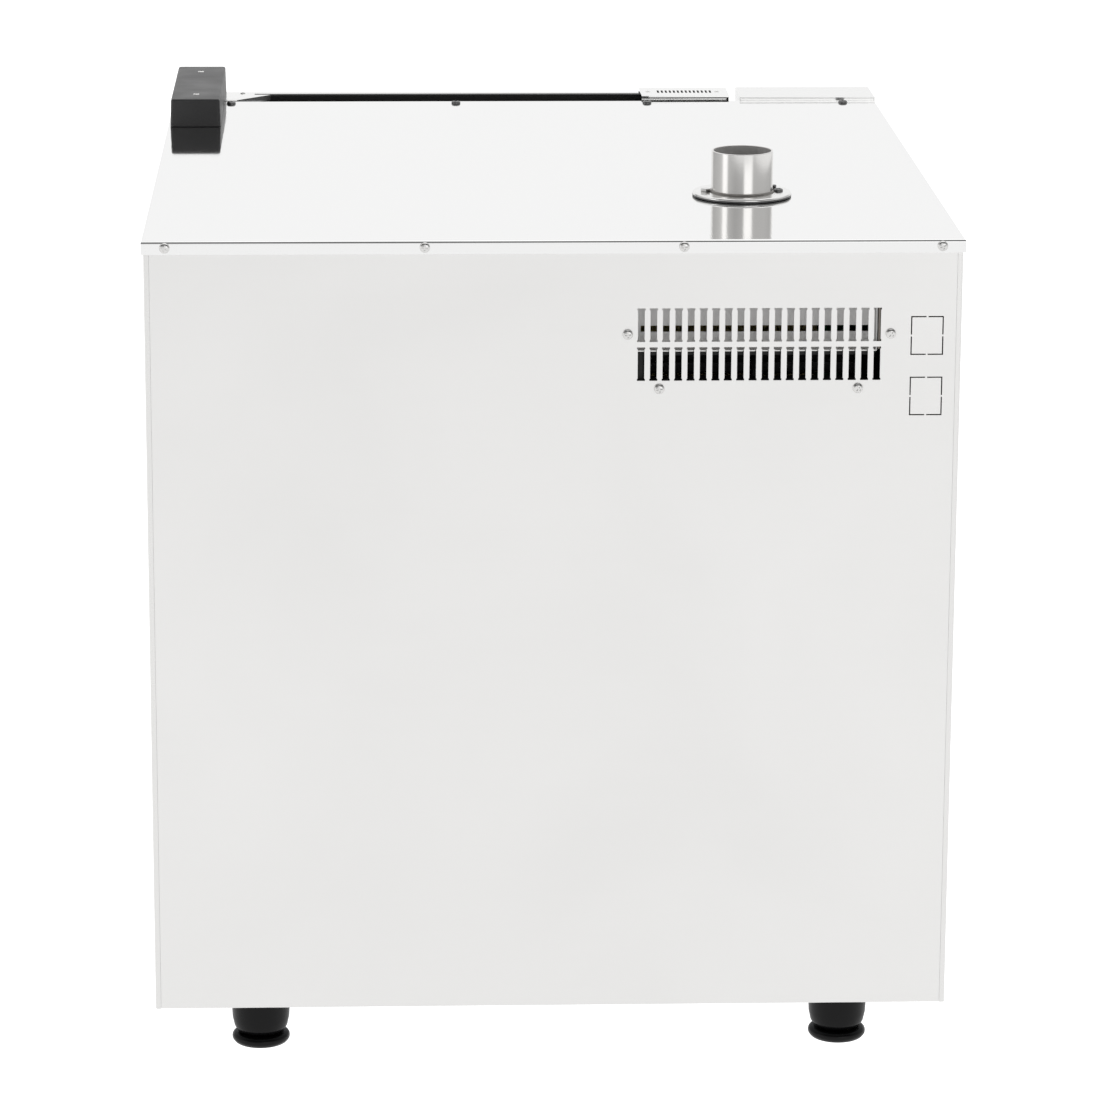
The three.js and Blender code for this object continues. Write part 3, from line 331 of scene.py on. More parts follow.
# ---------------------------------------------------------------- feet
# Four black nylon feet. A tapered sleeve hangs under the base, and a rounded pad on a threaded stem turns in
# it to level the oven; a narrow groove shows between the two.
def turned(name, points, centre, axis="z", steps=56, closed=False):
    """A turned piece: points are (radius, height) in mm along its axis, which runs up or to -Y."""
    bpy.ops.object.select_all(action="DESELECT")
    bpy.ops.mesh.primitive_plane_add(size=MM, location=(0, 0, 0))
    piece = bpy.context.object
    piece.name = name
    bpy.ops.object.mode_set(mode="EDIT")
    bpy.ops.mesh.select_mode(type="VERT")
    bpy.ops.mesh.select_all(action="SELECT")
    bpy.ops.mesh.merge(type="CENTER")
    outline = [Vector((radius, 0, height)) * MM for radius, height in points]
    if closed:
        outline.append(outline[0])
    bpy.ops.transform.translate(value=outline[0])
    for start, end in zip(outline, outline[1:]):
        bpy.ops.mesh.extrude_region_move(TRANSFORM_OT_translate={"value": end - start})
    bpy.ops.mesh.select_all(action="SELECT")
    bpy.ops.mesh.remove_doubles(threshold=0.001 * MM)
    bpy.ops.mesh.spin(steps=steps, angle=2 * math.pi, center=(0, 0, 0), axis=(0, 0, 1))
    bpy.ops.mesh.select_all(action="SELECT")
    bpy.ops.mesh.remove_doubles(threshold=0.001 * MM)
    bpy.ops.mesh.normals_make_consistent(inside=False)
    bpy.ops.object.mode_set(mode="OBJECT")
    piece.rotation_euler = ({"z": 0.0, "-y": math.pi / 2}[axis], 0, 0)
    piece.location = centre
    only(piece)
    bpy.ops.object.transform_apply(location=True, rotation=True, scale=True)
    return piece


foot_moulding = speckled("foot_moulding", (0.0015, 0.0015, 0.0018), (0.003, 0.003, 0.0033), 0.3, 700, 0.12)
foot_moulding.node_tree.nodes["Principled BSDF"].inputs["Specular IOR Level"].default_value = 0.22
SLEEVE_LIP = 3.4
STEM_RADIUS = 5
STEM_TOP = 32
FOOT_ROUND = 0.8 * MM
for corner in ("front_left", "front_right", "rear_left", "rear_right"):
    sleeve_low, sleeve_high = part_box("foot_sleeve_" + corner)
    pad_low, pad_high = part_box("foot_pad_" + corner)
    centre = ((sleeve_low.x + sleeve_high.x) / 2, (sleeve_low.y + sleeve_high.y) / 2, 0)
    rim = (sleeve_high.x - sleeve_low.x) / 2 / MM
    foot = (pad_high.x - pad_low.x) / 2 / MM
    low, high = sleeve_low.z / MM, sleeve_high.z / MM
    sleeve_outline = [(0, low - SLEEVE_LIP), (rim - 4.6, low - SLEEVE_LIP), (rim - 2.4, low)]
    sleeve_outline += [(rim - 0.9, low + 7), (rim, high), (0, high)]
    sleeve = turned("foot_sleeve_moulding_" + corner, sleeve_outline, centre)
    round_edges(sleeve, FOOT_ROUND, 3, 14)
    fit_for(sleeve, foot_moulding, "foot_sleeve_" + corner)
    pad_outline = [(0, 0.2), (foot - 5.5, 0), (foot - 2.2, 1.2), (foot - 0.3, 3.6), (foot, 5.6)]
    pad_outline += [(foot - 0.6, 7.4), (foot - 2, 8.6), (foot - 4.4, 9.2), (foot - 6.5, 9.4)]
    pad_outline += [(STEM_RADIUS, 9.6), (STEM_RADIUS, STEM_TOP), (0, STEM_TOP)]
    pad = turned("foot_pad_moulding_" + corner, pad_outline, centre)
    round_edges(pad, FOOT_ROUND, 3, 10)
    fit_for(pad, foot_moulding, "foot_pad_" + corner)

# ---------------------------------------------------------------- chamber, wool and steam fittings
# The welded stainless chamber sits in a jacket of mineral wool. A baffle hides the fan and its ring heater,
# and water comes in by a brass valve and leaves by the drain under the floor.
grain_group, grain_in, grain_out = new_group(
    "rolled grain",
    [
        ("Colour", "NodeSocketColor", (0.8, 0.8, 0.8, 1)),
        ("Stain", "NodeSocketColor", (0.7, 0.7, 0.7, 1)),
        ("Roughness", "NodeSocketFloat", 0.3),
        ("Line scale", "NodeSocketVector", (20, 900, 900)),
        ("Line strength", "NodeSocketFloat", 0.1),
        ("Cloud strength", "NodeSocketFloat", 0.1),
    ],
    [("Colour", "NodeSocketColor"), ("Roughness", "NodeSocketFloat"), ("Height", "NodeSocketFloat")],
)
grain_place = grain_group.nodes.new("ShaderNodeTexCoord").outputs["Object"]
stretched = grain_group.nodes.new("ShaderNodeVectorMath")
stretched.operation = "MULTIPLY"
link(grain_group, grain_place, stretched.inputs[0])
link(grain_group, grain_in.outputs["Line scale"], stretched.inputs[1])
lines = noise_node(grain_group, stretched.outputs[0], 1.0, 3.0)
clouds = noise_node(grain_group, grain_place, 5.0, 4.0, 0.6)
line_swing = math_node(grain_group, "SUBTRACT", lines, 0.5)
line_share = math_node(grain_group, "MULTIPLY", line_swing, grain_in.outputs["Line strength"])
cloud_swing = math_node(grain_group, "SUBTRACT", clouds, 0.5)
cloud_share = math_node(grain_group, "MULTIPLY", cloud_swing, grain_in.outputs["Cloud strength"])
both_shares = math_node(grain_group, "ADD", line_share, cloud_share)
stain_share = math_node(grain_group, "ADD", both_shares, 0.3, True)
stained = mix_colours(grain_group, stain_share, grain_in.outputs["Colour"], grain_in.outputs["Stain"])
link(grain_group, stained, grain_out.inputs["Colour"])
rougher = math_node(grain_group, "ADD", grain_in.outputs["Roughness"], line_share)
half_clouds = math_node(grain_group, "MULTIPLY", cloud_share, 0.5)
rougher = math_node(grain_group, "ADD", rougher, half_clouds, True)
link(grain_group, rougher, grain_out.inputs["Roughness"])
link(grain_group, lines, grain_out.inputs["Height"])
ALONG_X = (14, 1400, 1400)
ALONG_Y = (1400, 14, 1400)
ALONG_Z = (1400, 1400, 14)


def steel(name, colour, stain, roughness, lines_run, line=0.1, cloud=0.2, bump=0.1):
    """Stainless sheet: fine lines along its grain, over cloudy patches that handling leaves."""
    material, tree, shader = empty_material(name)
    group = tree.nodes.new("ShaderNodeGroup")
    group.node_tree = grain_group
    group.inputs["Colour"].default_value = (*colour, 1)
    group.inputs["Stain"].default_value = (*stain, 1)
    group.inputs["Roughness"].default_value = roughness
    group.inputs["Line scale"].default_value = lines_run
    group.inputs["Line strength"].default_value = line
    group.inputs["Cloud strength"].default_value = cloud
    link(tree, group.outputs["Colour"], shader.inputs["Base Color"])
    link(tree, group.outputs["Roughness"], shader.inputs["Roughness"])
    shader.inputs["Metallic"].default_value = 1.0
    bump_from(tree, shader, group.outputs["Height"], bump, 0.0002)
    return material


def ring_walls(inner, outer, bottom, top):
    """The outline that turns into a ring or a tube, in mm."""
    return [(outer, bottom), (outer, top), (inner, top), (inner, bottom)]


chamber_steel = steel(
    "chamber_steel", (0.62, 0.61, 0.59), (0.45, 0.42, 0.38), 0.24, ALONG_X, line=0.12, cloud=0.6, bump=0.15
)
bright_steel = steel("bright_steel", (0.76, 0.755, 0.745), (0.6, 0.59, 0.57), 0.2, ALONG_Z, 0.1, 0.3, 0.1)
heater_steel = speckled("heater_steel", (0.12, 0.1, 0.09), (0.22, 0.18, 0.14), 0.45, 160, 0.2, metallic=0.8)
mineral_wool = speckled(
    "mineral_wool", (0.62, 0.52, 0.26), (0.42, 0.34, 0.16), 0.95, 220, 0.9, distance=0.002
)
brass = speckled("brass", (0.6, 0.42, 0.16), (0.5, 0.34, 0.12), 0.3, 200, 0.1, metallic=1.0)
black_moulding = speckled("black_moulding", (0.024, 0.024, 0.025), (0.04, 0.04, 0.041), 0.42, 900, 0.35)
softened("oven_chamber", chamber_steel, 0.4 * MM)
softened("insulation_jacket", mineral_wool, 3 * MM, 3)
softened("fan_baffle", bright_steel, 0.35 * MM)
for node in ("convection_fan", "left_tray_rack", "right_tray_rack", "steam_injector"):
    softened(node, bright_steel, 0.3 * MM)
softened("heating_element", heater_steel, 0.3 * MM)
softened("water_valve", brass, 0.6 * MM)
softened("cable_gland", black_moulding, 0.5 * MM)
softened("fan_motor", zinc, 1.2 * MM, 3)
drain_low, drain_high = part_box("drain_pipe")
drain_radius = (drain_high.x - drain_low.x) / 2 / MM
DRAIN_WALL = 2
drain_walls = ring_walls(drain_radius - DRAIN_WALL, drain_radius, drain_low.z / MM, drain_high.z / MM)
drain_centre = ((drain_low.x + drain_high.x) / 2, (drain_low.y + drain_high.y) / 2, 0)
drain = turned("drain_tube", drain_walls, drain_centre, closed=True)
round_edges(drain, 0.5 * MM)
fit_for(drain, bright_steel, "drain_pipe")

# ---------------------------------------------------------------- wire shelves
# Each shelf is a bent round rod with fifteen thinner wires welded across it. It slides on the rack's
# ledges.
def cylinder(name, centre, radius, depth, sides):
    """An upright cylinder round its middle."""
    bpy.ops.object.select_all(action="DESELECT")
    bpy.ops.mesh.primitive_cylinder_add(vertices=sides, radius=radius, depth=depth, location=centre)
    piece = bpy.context.object
    piece.name = name
    return piece


def rod_between(name, start, end, radius, sides=10):
    """A straight round wire, its ends slightly rounded."""
    start, end = Vector(start), Vector(end)
    piece = cylinder(name, (0, 0, 0), radius, (end - start).length, sides)
    piece.rotation_euler = (end - start).to_track_quat("Z", "Y").to_euler()
    piece.location = (start + end) / 2
    bpy.ops.object.transform_apply(location=True, rotation=True, scale=True)
    round_edges(piece, radius * 0.3, 1, 50)
    return piece


def joined(name, pieces):
    bpy.ops.object.select_all(action="DESELECT")
    for piece in pieces:
        piece.select_set(True)
    bpy.context.view_layer.objects.active = pieces[0]
    bpy.ops.object.join()
    pieces[0].name = name
    return pieces[0]


def bent_rod(name, low, high, height, corner, radius):
    """A closed rod round a rectangle, bent to a radius at its corners."""
    bpy.ops.object.select_all(action="DESELECT")
    middle = Vector(((low[0] + high[0]) / 2, (low[1] + high[1]) / 2, height))
    bpy.ops.mesh.primitive_plane_add(size=1, location=middle)
    piece = bpy.context.object
    piece.scale = (high[0] - low[0], high[1] - low[1], 1)
    bpy.ops.object.transform_apply(location=True, rotation=True, scale=True)
    bpy.ops.object.mode_set(mode="EDIT")
    bpy.ops.mesh.select_all(action="SELECT")
    bpy.ops.mesh.bevel(offset=corner, segments=6, affect="VERTICES")
    bpy.ops.mesh.select_all(action="SELECT")
    bpy.ops.mesh.delete(type="ONLY_FACE")
    bpy.ops.object.mode_set(mode="OBJECT")
    only(piece)
    bpy.ops.object.convert(target="CURVE")
    piece = bpy.context.object
    piece.data.bevel_depth = radius
    piece.data.bevel_resolution = 3
    bpy.ops.object.convert(target="MESH")
    piece = bpy.context.object
    piece.name = name
    return piece


SHELF_ROD = 3 * MM
SHELF_WIRES = 15
RIM_BEND = 9 * MM
rod_inset = Vector((SHELF_ROD, SHELF_ROD, 0))
for node in ("wire_shelf_lower", "wire_shelf_upper"):
    low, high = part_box(node)
    height = low.z + SHELF_ROD
    rods = [bent_rod(node + "_rim", low + rod_inset, high - rod_inset, height, RIM_BEND, SHELF_ROD)]
    for number in range(1, SHELF_WIRES + 1):
        x = low.x + (high.x - low.x) * number / (SHELF_WIRES + 1)
        front = (x, low.y + SHELF_ROD, height)
        back = (x, high.y - SHELF_ROD, height)
        rods.append(rod_between("wire", front, back, SHELF_ROD / 2))
    fit_for(joined(node + "_rods", rods), bright_steel, node, smooth=60)

# ---------------------------------------------------------------- boards and blower
# Two green circuit boards, and behind the lower vent slots a drum blower in a black moulded housing.
circuit_board = speckled("circuit_board", (0.02, 0.14, 0.06), (0.03, 0.2, 0.09), 0.4, 400, 0.1)
for node in ("power_board", "control_board"):
    softened(node, circuit_board, 0.4 * MM)
housing_black = speckled("housing_black", (0.006, 0.006, 0.006), (0.012, 0.012, 0.012), 0.6, 600, 0.2)
softened("blower_housing", housing_black, 0.6 * MM)
softened("blower_wheel", housing_black, 0.2 * MM)
softened("damper_motor", black_moulding, 1 * MM)
softened("strike_plate", zinc, 0.5 * MM)

# ---------------------------------------------------------------- vent deflector
# A folded zinc-coated sheet close behind the upper slots. One long slit lets the board's air out, its foot
# turns out towards the slots, and a darker cheek closes one end.
def block(name, low, high):
    """A block between two corners."""
    low, high = Vector(low), Vector(high)
    bpy.ops.object.select_all(action="DESELECT")
    bpy.ops.mesh.primitive_cube_add(size=1, location=(low + high) / 2, scale=high - low)
    piece = bpy.context.object
    piece.name = name
    bpy.ops.object.transform_apply(location=True, rotation=True, scale=True)
    return piece


def shape(piece, kind, chosen, operator, **settings):
    """An edit-mode step on the chosen faces or edges. The choice sees each one's middle, and a face's normal
    or an edge's direction."""
    only(piece)
    bpy.context.tool_settings.mesh_select_mode = (False, kind == "edges", kind == "faces")
    mesh = piece.data
    for part in (*mesh.vertices, *mesh.edges, *mesh.polygons):
        part.select = False
    if kind == "faces":
        for face in mesh.polygons:
            face.select = bool(chosen(face.center, face.normal))
    else:
        for edge in mesh.edges:
            start, end = (mesh.vertices[i].co for i in edge.vertices)
            edge.select = bool(chosen((start + end) / 2, (end - start).normalized()))
    bpy.ops.object.mode_set(mode="EDIT")
    operator(**settings)
    bpy.ops.object.mode_set(mode="OBJECT")


def cut_out(piece, cutter):
    apply_modifier(piece, "BOOLEAN", operation="DIFFERENCE", object=cutter, solver="EXACT")
    bpy.data.objects.remove(cutter)


deflector_zinc = speckled("deflector_zinc", (0.9, 0.9, 0.89), (0.84, 0.83, 0.82), 0.6, 120, 0.1)
cheek_zinc = speckled("cheek_zinc", (0.3, 0.26, 0.22), (0.22, 0.2, 0.18), 0.55, 120, 0.1)
SHEET = 1.2 * MM
DEFLECTOR_DEPTH = 9 * MM
deflector_low, deflector_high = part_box("vent_deflector")
rear_low, rear_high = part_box("rear_panel")
face_y = rear_low.y - DEFLECTOR_DEPTH
deflector = merged_copy("vent_deflector", "deflector_sheet")
foot_lip = block(
    "foot_lip",
    (deflector_low.x, face_y - 0.3 * MM, deflector_low.z - 0.2 * MM),
    (deflector_high.x, rear_low.y - 3 * MM, deflector_low.z + SHEET - 0.2 * MM),
)
round_edges(deflector, 0.3 * MM)
round_edges(foot_lip, 0.35 * MM)
cheek = block(
    "deflector_cheek",
    (deflector_low.x - 1.9 * MM, face_y, deflector_low.z + 2 * MM),
    (deflector_low.x - 0.5 * MM, rear_low.y - 0.3 * MM, deflector_high.z),
)
round_edges(cheek, 0.3 * MM)
fit(cheek, cheek_zinc, "cabinet")
fit_for(deflector, deflector_zinc, "vent_deflector")
fit(foot_lip, bright_steel, "cabinet")

# ---------------------------------------------------------------- front frame and gasket
# The cabinet's front is a flat stainless frame round the chamber's mouth, with a grey-black silicone gasket.
side_steel = steel("side_steel", (0.9, 0.895, 0.885), (0.82, 0.815, 0.8), 0.3, ALONG_Y, 0.1, 0.3, 0.15)
gasket_rubber = speckled("gasket_rubber", (0.03, 0.03, 0.033), (0.05, 0.05, 0.052), 0.7, 500, 0.2)
softened("front_frame", side_steel, 0.3 * MM)
softened("door_gasket", gasket_rubber, 1.6 * MM, 4)

# ---------------------------------------------------------------- side panels
# Brushed stainless sheets. At the back each one turns in by about four millimetres beside the rear
# panel.
NEAR = 0.1 * MM
REAR_TURN = 4.1 * MM
PANEL_GAP = 0.12 * MM
for side, node in ((-1, "left_side_panel"), (1, "right_side_panel")):
    low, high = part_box(node)
    outer = max(abs(low.x), abs(high.x))
    x_ends = sorted((side * outer, side * (outer - REAR_TURN)))
    panel = block(node + "_sheet", (x_ends[0], low.y, low.z), (x_ends[1], rear_high.y, high.z))
    shape(
        panel, "faces", lambda at, way: way.y < -0.5 or abs(way.z) > 0.5 or way.x * side < -0.5,
        bpy.ops.mesh.delete, type="FACE",
    )
    shape(
        panel, "edges", lambda at, way: abs(at.x) > outer - NEAR and at.y > rear_high.y - NEAR,
        bpy.ops.mesh.bevel, offset=1.8 * MM, segments=4, affect="EDGES",
    )
    apply_modifier(panel, "SOLIDIFY", thickness=SHEET, offset=-1, use_even_offset=True)
    fit_for(panel, side_steel, node)

# ---------------------------------------------------------------- rear panel
# A flat sheet with a short roll at its foot, two rows of twenty punched slots and two rectangles cut nearly
# through for extra fittings. Each punched slot is a little wider at its two ends.
rear_steel = steel("rear_steel", (0.93, 0.925, 0.915), (0.88, 0.875, 0.862), 0.34, ALONG_X, 0.06, 0.35, 0.1)
rear = merged_copy("rear_panel", "rear_sheet")
for side in (-1, 1):
    only(rear)
    bpy.ops.object.mode_set(mode="EDIT")
    bpy.ops.mesh.select_all(action="SELECT")
    bpy.ops.mesh.bisect(
        plane_co=(side * (outer - REAR_TURN - PANEL_GAP), 0, 0), plane_no=(side, 0, 0),
        use_fill=True, clear_outer=True,
    )
    bpy.ops.object.mode_set(mode="OBJECT")
SLOT_COUNT = 20
SLOT_PITCH = 9.1 * MM
SLOT_WIDTH = 4.9 * MM
SLOT_HEIGHT = 25 * MM
EAR_WIDTH = 5.9 * MM
EAR_HEIGHT = 1.5 * MM
ROW_GAP = 4 * MM
slot_top = deflector_high.z - 8 * MM
first_slot = deflector_low.x - 2 * MM + SLOT_WIDTH / 2
ear_heights = [slot_top - EAR_HEIGHT / 2, slot_top - SLOT_HEIGHT + EAR_HEIGHT / 2]
ear_heights += [height - SLOT_HEIGHT - ROW_GAP for height in ear_heights]
ears = []
for height in ear_heights:
    ear = block(
        "ear",
        (first_slot - EAR_WIDTH / 2, rear_low.y - 2 * MM, height - EAR_HEIGHT / 2),
        (first_slot + EAR_WIDTH / 2, rear_high.y + 2 * MM, height + EAR_HEIGHT / 2),
    )
    apply_modifier(
        ear, "ARRAY", count=SLOT_COUNT, use_relative_offset=False, use_constant_offset=True,
        constant_offset_displace=(SLOT_PITCH, 0, 0),
    )
    ears.append(ear)
cut_out(rear, joined("ears", ears))
shape(
    rear, "edges",
    lambda at, way: at.z < rear_low.z + NEAR and at.y > rear_high.y - NEAR and abs(way.x) > 0.9,
    bpy.ops.mesh.bevel, offset=1 * MM, segments=4, affect="EDGES",
)
fit_for(rear, rear_steel, "rear_panel")

# ---------------------------------------------------------------- top cover
# One sheet, brushed from front to back to a near mirror, folded down at both sides and at the back over a
# small radius. The flue comes up through a hole in it.
cover_steel = steel("cover_steel", (0.95, 0.95, 0.948), (0.93, 0.93, 0.925), 0.05, ALONG_Y, 0.02, 0.05, 0.06)
cover_low, cover_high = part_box("top_cover")
FOLD = 2.2 * MM
cover = block("cover_sheet", cover_low, cover_high)
shape(cover, "faces", lambda at, way: way.z < -0.5 or way.y < -0.5, bpy.ops.mesh.delete, type="FACE")
shape(
    cover, "edges", lambda at, way: at.z > cover_high.z - NEAR and at.y > cover_low.y + 1 * MM,
    bpy.ops.mesh.bevel, offset=FOLD, segments=6, affect="EDGES",
)
apply_modifier(cover, "SOLIDIFY", thickness=SHEET, offset=-1, use_even_offset=True)
flue_low, flue_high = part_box("flue_tube")
flue_centre = (flue_low + flue_high) / 2
HOLE_GAP = 1.5 * MM
hole_centre = (flue_centre.x, flue_centre.y, cover_high.z)
cut_out(cover, cylinder("flue_hole", hole_centre, (flue_high.x - flue_low.x) / 2 + HOLE_GAP, 10 * MM, 64))
shape(
    cover, "edges",
    lambda at, way: at.y < cover_low.y + NEAR and at.z > cover_high.z - NEAR and abs(way.x) > 0.9,
    bpy.ops.mesh.bevel, offset=0.9 * MM, segments=3, affect="EDGES",
)
fit_for(cover, cover_steel, "top_cover")

# ---------------------------------------------------------------- screws
# M4 pan heads with a cross recess, in bright stainless. The four along the cover's front edge are darker.
HEAD_RADIUS = 3.8


def cross_recess(screw, arm_width, arm_length, bottom, top):
    """The driver's cross, cut into a head that faces up. Sizes are in mm."""
    for x, y in ((arm_width / 2, arm_length / 2), (arm_length / 2, arm_width / 2)):
        cut_out(screw, block("recess", (-x * MM, -y * MM, bottom * MM), (x * MM, y * MM, top * MM)))


def pan_screw(name):
    """A screw head on the origin, facing up, with a short shank and its recess."""
    outline = [(0, -2.5), (2, -2.5), (2, 0.1), (HEAD_RADIUS, 0.1), (HEAD_RADIUS, 0.9)]
    outline += [(3.35, 1.65), (2.5, 2.05), (1.2, 2.2), (0, 2.2)]
    screw = turned(name, outline, (0, 0, 0), steps=28)
    cross_recess(screw, 1.2, 4.6, 0.9, 3)
    return screw


def driven(pattern, name, place, axis, turned_by, scale=1.0):
    """A copy of a screw, its head facing along an axis, turned as the driver left it."""
    screw = bpy.data.objects.new(name, pattern.data.copy())
    bpy.context.scene.collection.objects.link(screw)
    only(screw)
    tilt = {"z": 0.0, "y": -math.pi / 2}[axis]
    screw.matrix_world = (
        Matrix.Translation(place)
        @ Matrix.Rotation(tilt, 4, "X")
        @ Matrix.Rotation(turned_by, 4, "Z")
        @ Matrix.Scale(scale, 4)
    )
    bpy.ops.object.transform_apply(location=True, rotation=True, scale=True)
    return screw


screw_steel = speckled("screw_steel", (0.86, 0.86, 0.85), (0.7, 0.69, 0.68), 0.2, 300, 0.15, metallic=1.0)
dark_screw_steel = speckled(
    "dark_screw_steel", (0.3, 0.3, 0.3), (0.16, 0.16, 0.16), 0.3, 300, 0.2, metallic=1.0
)
screw = pan_screw("screw")
row_low, row_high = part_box("rear_cover_screws")
reach = row_high.x - HEAD_RADIUS * MM
for number, share in enumerate((-1, -1 / 3, 1 / 3, 1)):
    place = Vector((reach * share, cover_high.y, cover_high.z - 5 * MM))
    piece = driven(screw, f"rear_cover_screw_{number}", place, "y", 0.4 + 1.3 * number)
    fit_for(piece, screw_steel, "rear_cover_screws")
row_low, row_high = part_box("vent_screws")
vent_middle = (row_low.x + row_high.x) / 2
UPPER_REACH = 96.3
LOWER_REACH = 72.9
upper_z = slot_top - 19.3 * MM
lower_z = slot_top - 2 * SLOT_HEIGHT - 10 * MM
vent_places = [(-UPPER_REACH, upper_z), (UPPER_REACH, upper_z)]
vent_places += [(-LOWER_REACH, lower_z), (LOWER_REACH, lower_z)]
for number, (offset, height) in enumerate(vent_places):
    place = Vector((vent_middle + offset * MM, rear_high.y, height))
    piece = driven(screw, f"vent_screw_{number}", place, "y", 0.9 + 0.8 * number)
    fit_for(piece, screw_steel, "vent_screws")
FRONT_SCREW_INSETS = (49.5, 240.5, 403.5, 571)
for number, inset in enumerate(FRONT_SCREW_INSETS):
    place = Vector((cover_high.x - inset * MM, cover_low.y + 12 * MM, cover_high.z))
    piece = driven(screw, f"front_cover_screw_{number}", place, "z", 0.3 + 0.9 * number)
    fit_for(piece, dark_screw_steel, "front_cover_screws")

# ---------------------------------------------------------------- flue
# A drawn stainless tube with a faced rim, welded into a thick round flange. The flange is held by a hexagon
# screw and a pan head, and a third screw's end shows beside the tube. A motor damper turns inside it.
flue_steel = steel("flue_steel", (0.88, 0.87, 0.855), (0.74, 0.72, 0.7), 0.17, ALONG_Z, 0.05, 0.4, 0.08)
lining_steel = speckled("lining_steel", (0.86, 0.85, 0.84), (0.3, 0.29, 0.28), 0.45, 90, 0.15)
# Dark steel for painted shade on the lower half of the flange's rim, where the rounded underside would be in
# shade.
rim_shade_steel = speckled("rim_shade_steel", (0.2, 0.2, 0.2), (0.12, 0.12, 0.12), 0.35, 300, 0.1, metallic=0.6)
flange_steel = steel("flange_steel", (0.9, 0.9, 0.89), (0.78, 0.77, 0.76), 0.14, ALONG_X, 0.05, 0.2, 0.05)
weld_steel = speckled("weld_steel", (0.26, 0.25, 0.24), (0.14, 0.13, 0.12), 0.35, 260, 0.5, metallic=0.9)
flue_radius = (flue_high.x - flue_low.x) / 2 / MM
FLUE_WALL = 1.5
flue_bore = flue_radius - FLUE_WALL
flue_bottom, flue_top = flue_low.z / MM, flue_high.z / MM
flue_axis = (flue_centre.x, flue_centre.y, 0)


def flue_ring(name, inner, outer, bottom, top):
    """A ring round the flue's axis."""
    return turned(name, ring_walls(inner, outer, bottom, top), flue_axis, steps=96, closed=True)


tube = flue_ring("flue_pipe", flue_bore, flue_radius, flue_bottom, flue_top)
round_edges(tube, 0.45 * MM, 3)
fit_for(tube, flue_steel, "flue_tube")
# A rough liner inside the tube, mottled light and dark in broad patches.
lining = flue_ring("flue_lining", flue_bore - 0.25, flue_bore - 0.05, flue_bottom + 1, flue_top - 0.6)
fit(lining, lining_steel, "cabinet", smooth=60)
flange_low, flange_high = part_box("flue_flange")
flange_radius = (flange_high.x - flange_low.x) / 2 / MM
bottom, top = flange_low.z / MM, flange_high.z / MM
flange = flue_ring("flue_collar", flue_radius + 0.2, flange_radius, bottom, top)
rim_from = (flange_radius - 1) * MM
shape(
    flange, "edges",
    lambda at, way: math.hypot(at.x - flue_centre.x, at.y - flue_centre.y) > rim_from and abs(way.z) < 0.5,
    bpy.ops.mesh.bevel, offset=1.35 * MM, segments=5, affect="EDGES",
)
fit_for(flange, flange_steel, "flue_flange", smooth=50)
# Painted shade: a dark ring round the lower half of the flange's rim stands in for the shade under its
# rounded edge.
rim_shade_ring = flue_ring(
    "flue_collar_rim_shade", flange_radius - 1.2, flange_radius + 0.02, bottom + 0.1, bottom + 1.2
)
fit(rim_shade_ring, rim_shade_steel, "cabinet", smooth=50)
weld_outline = [(flue_radius - 0.2, top - 0.4), (flue_radius + 1.7, top - 0.4)]
weld_outline += [(flue_radius + 1.3, top + 0.7), (flue_radius - 0.2, top + 1.6)]
weld = turned("flue_weld", weld_outline, flue_axis, steps=96, closed=True)
fit(weld, weld_steel, "cabinet", smooth=60)
COLLAR_REACH = 28 * MM
collar_place = Vector((flue_centre.x - COLLAR_REACH, flue_centre.y, flange_high.z))
collar_screw = driven(screw, "collar_screw", collar_place, "z", 0.5, 0.92)
fit(collar_screw, dark_screw_steel, "cabinet")
bolt_centre = (flue_centre.x + COLLAR_REACH, flue_centre.y + 1 * MM, flange_high.z + 1.2 * MM)
collar_bolt = cylinder("collar_bolt", bolt_centre, 4 * MM, 2.4 * MM, 6)
bpy.ops.object.transform_apply(location=True, rotation=True, scale=True)
round_edges(collar_bolt, 0.35 * MM, 2)
fit(collar_bolt, screw_steel, "cabinet")
stud_x = flue_centre.x - 25.6 * MM
stud_y = flue_centre.y - 9 * MM
stud = rod_between(
    "collar_stud", (stud_x, stud_y, flange_high.z), (stud_x, stud_y, flange_high.z + 3.2 * MM), 1.5 * MM, 16
)
fit(stud, dark_screw_steel, "cabinet")
softened("damper_disc", bright_steel, 0.3 * MM)

# ---------------------------------------------------------------- hinges and their cover
# Zinc-coated brackets carry the door's pins. Over the top one is a black moulded cap with a little draft,
# held by two screws sunk in wells.
softened("top_hinge", zinc, 0.5 * MM)
softened("bottom_hinge", zinc, 0.5 * MM)
cap_low, cap_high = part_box("hinge_cover")
cap_middle = (cap_low + cap_high) / 2
CAP_DRAFT = (0.968, 0.992, 1)
CAP_WALL = 2.4 * MM
WELL_RADIUS = 3 * MM
cap = block("hinge_cap", cap_low, cap_high)
shape(
    cap, "faces", lambda at, way: way.z > 0.5, bpy.ops.transform.resize,
    value=CAP_DRAFT, center_override=(cap_middle.x, cap_middle.y, cap_high.z),
)
shape(cap, "faces", lambda at, way: way.z < -0.5, bpy.ops.mesh.delete, type="FACE")
shape(
    cap, "edges", lambda at, way: abs(way.z) > 0.5,
    bpy.ops.mesh.bevel, offset=2.6 * MM, segments=5, affect="EDGES",
)
shape(
    cap, "edges",
    lambda at, way: at.z > cap_high.z - NEAR and abs(way.z) < 0.1,
    bpy.ops.mesh.bevel, offset=1.7 * MM, segments=5, affect="EDGES",
)
apply_modifier(cap, "SOLIDIFY", thickness=CAP_WALL, offset=-1, use_even_offset=True)
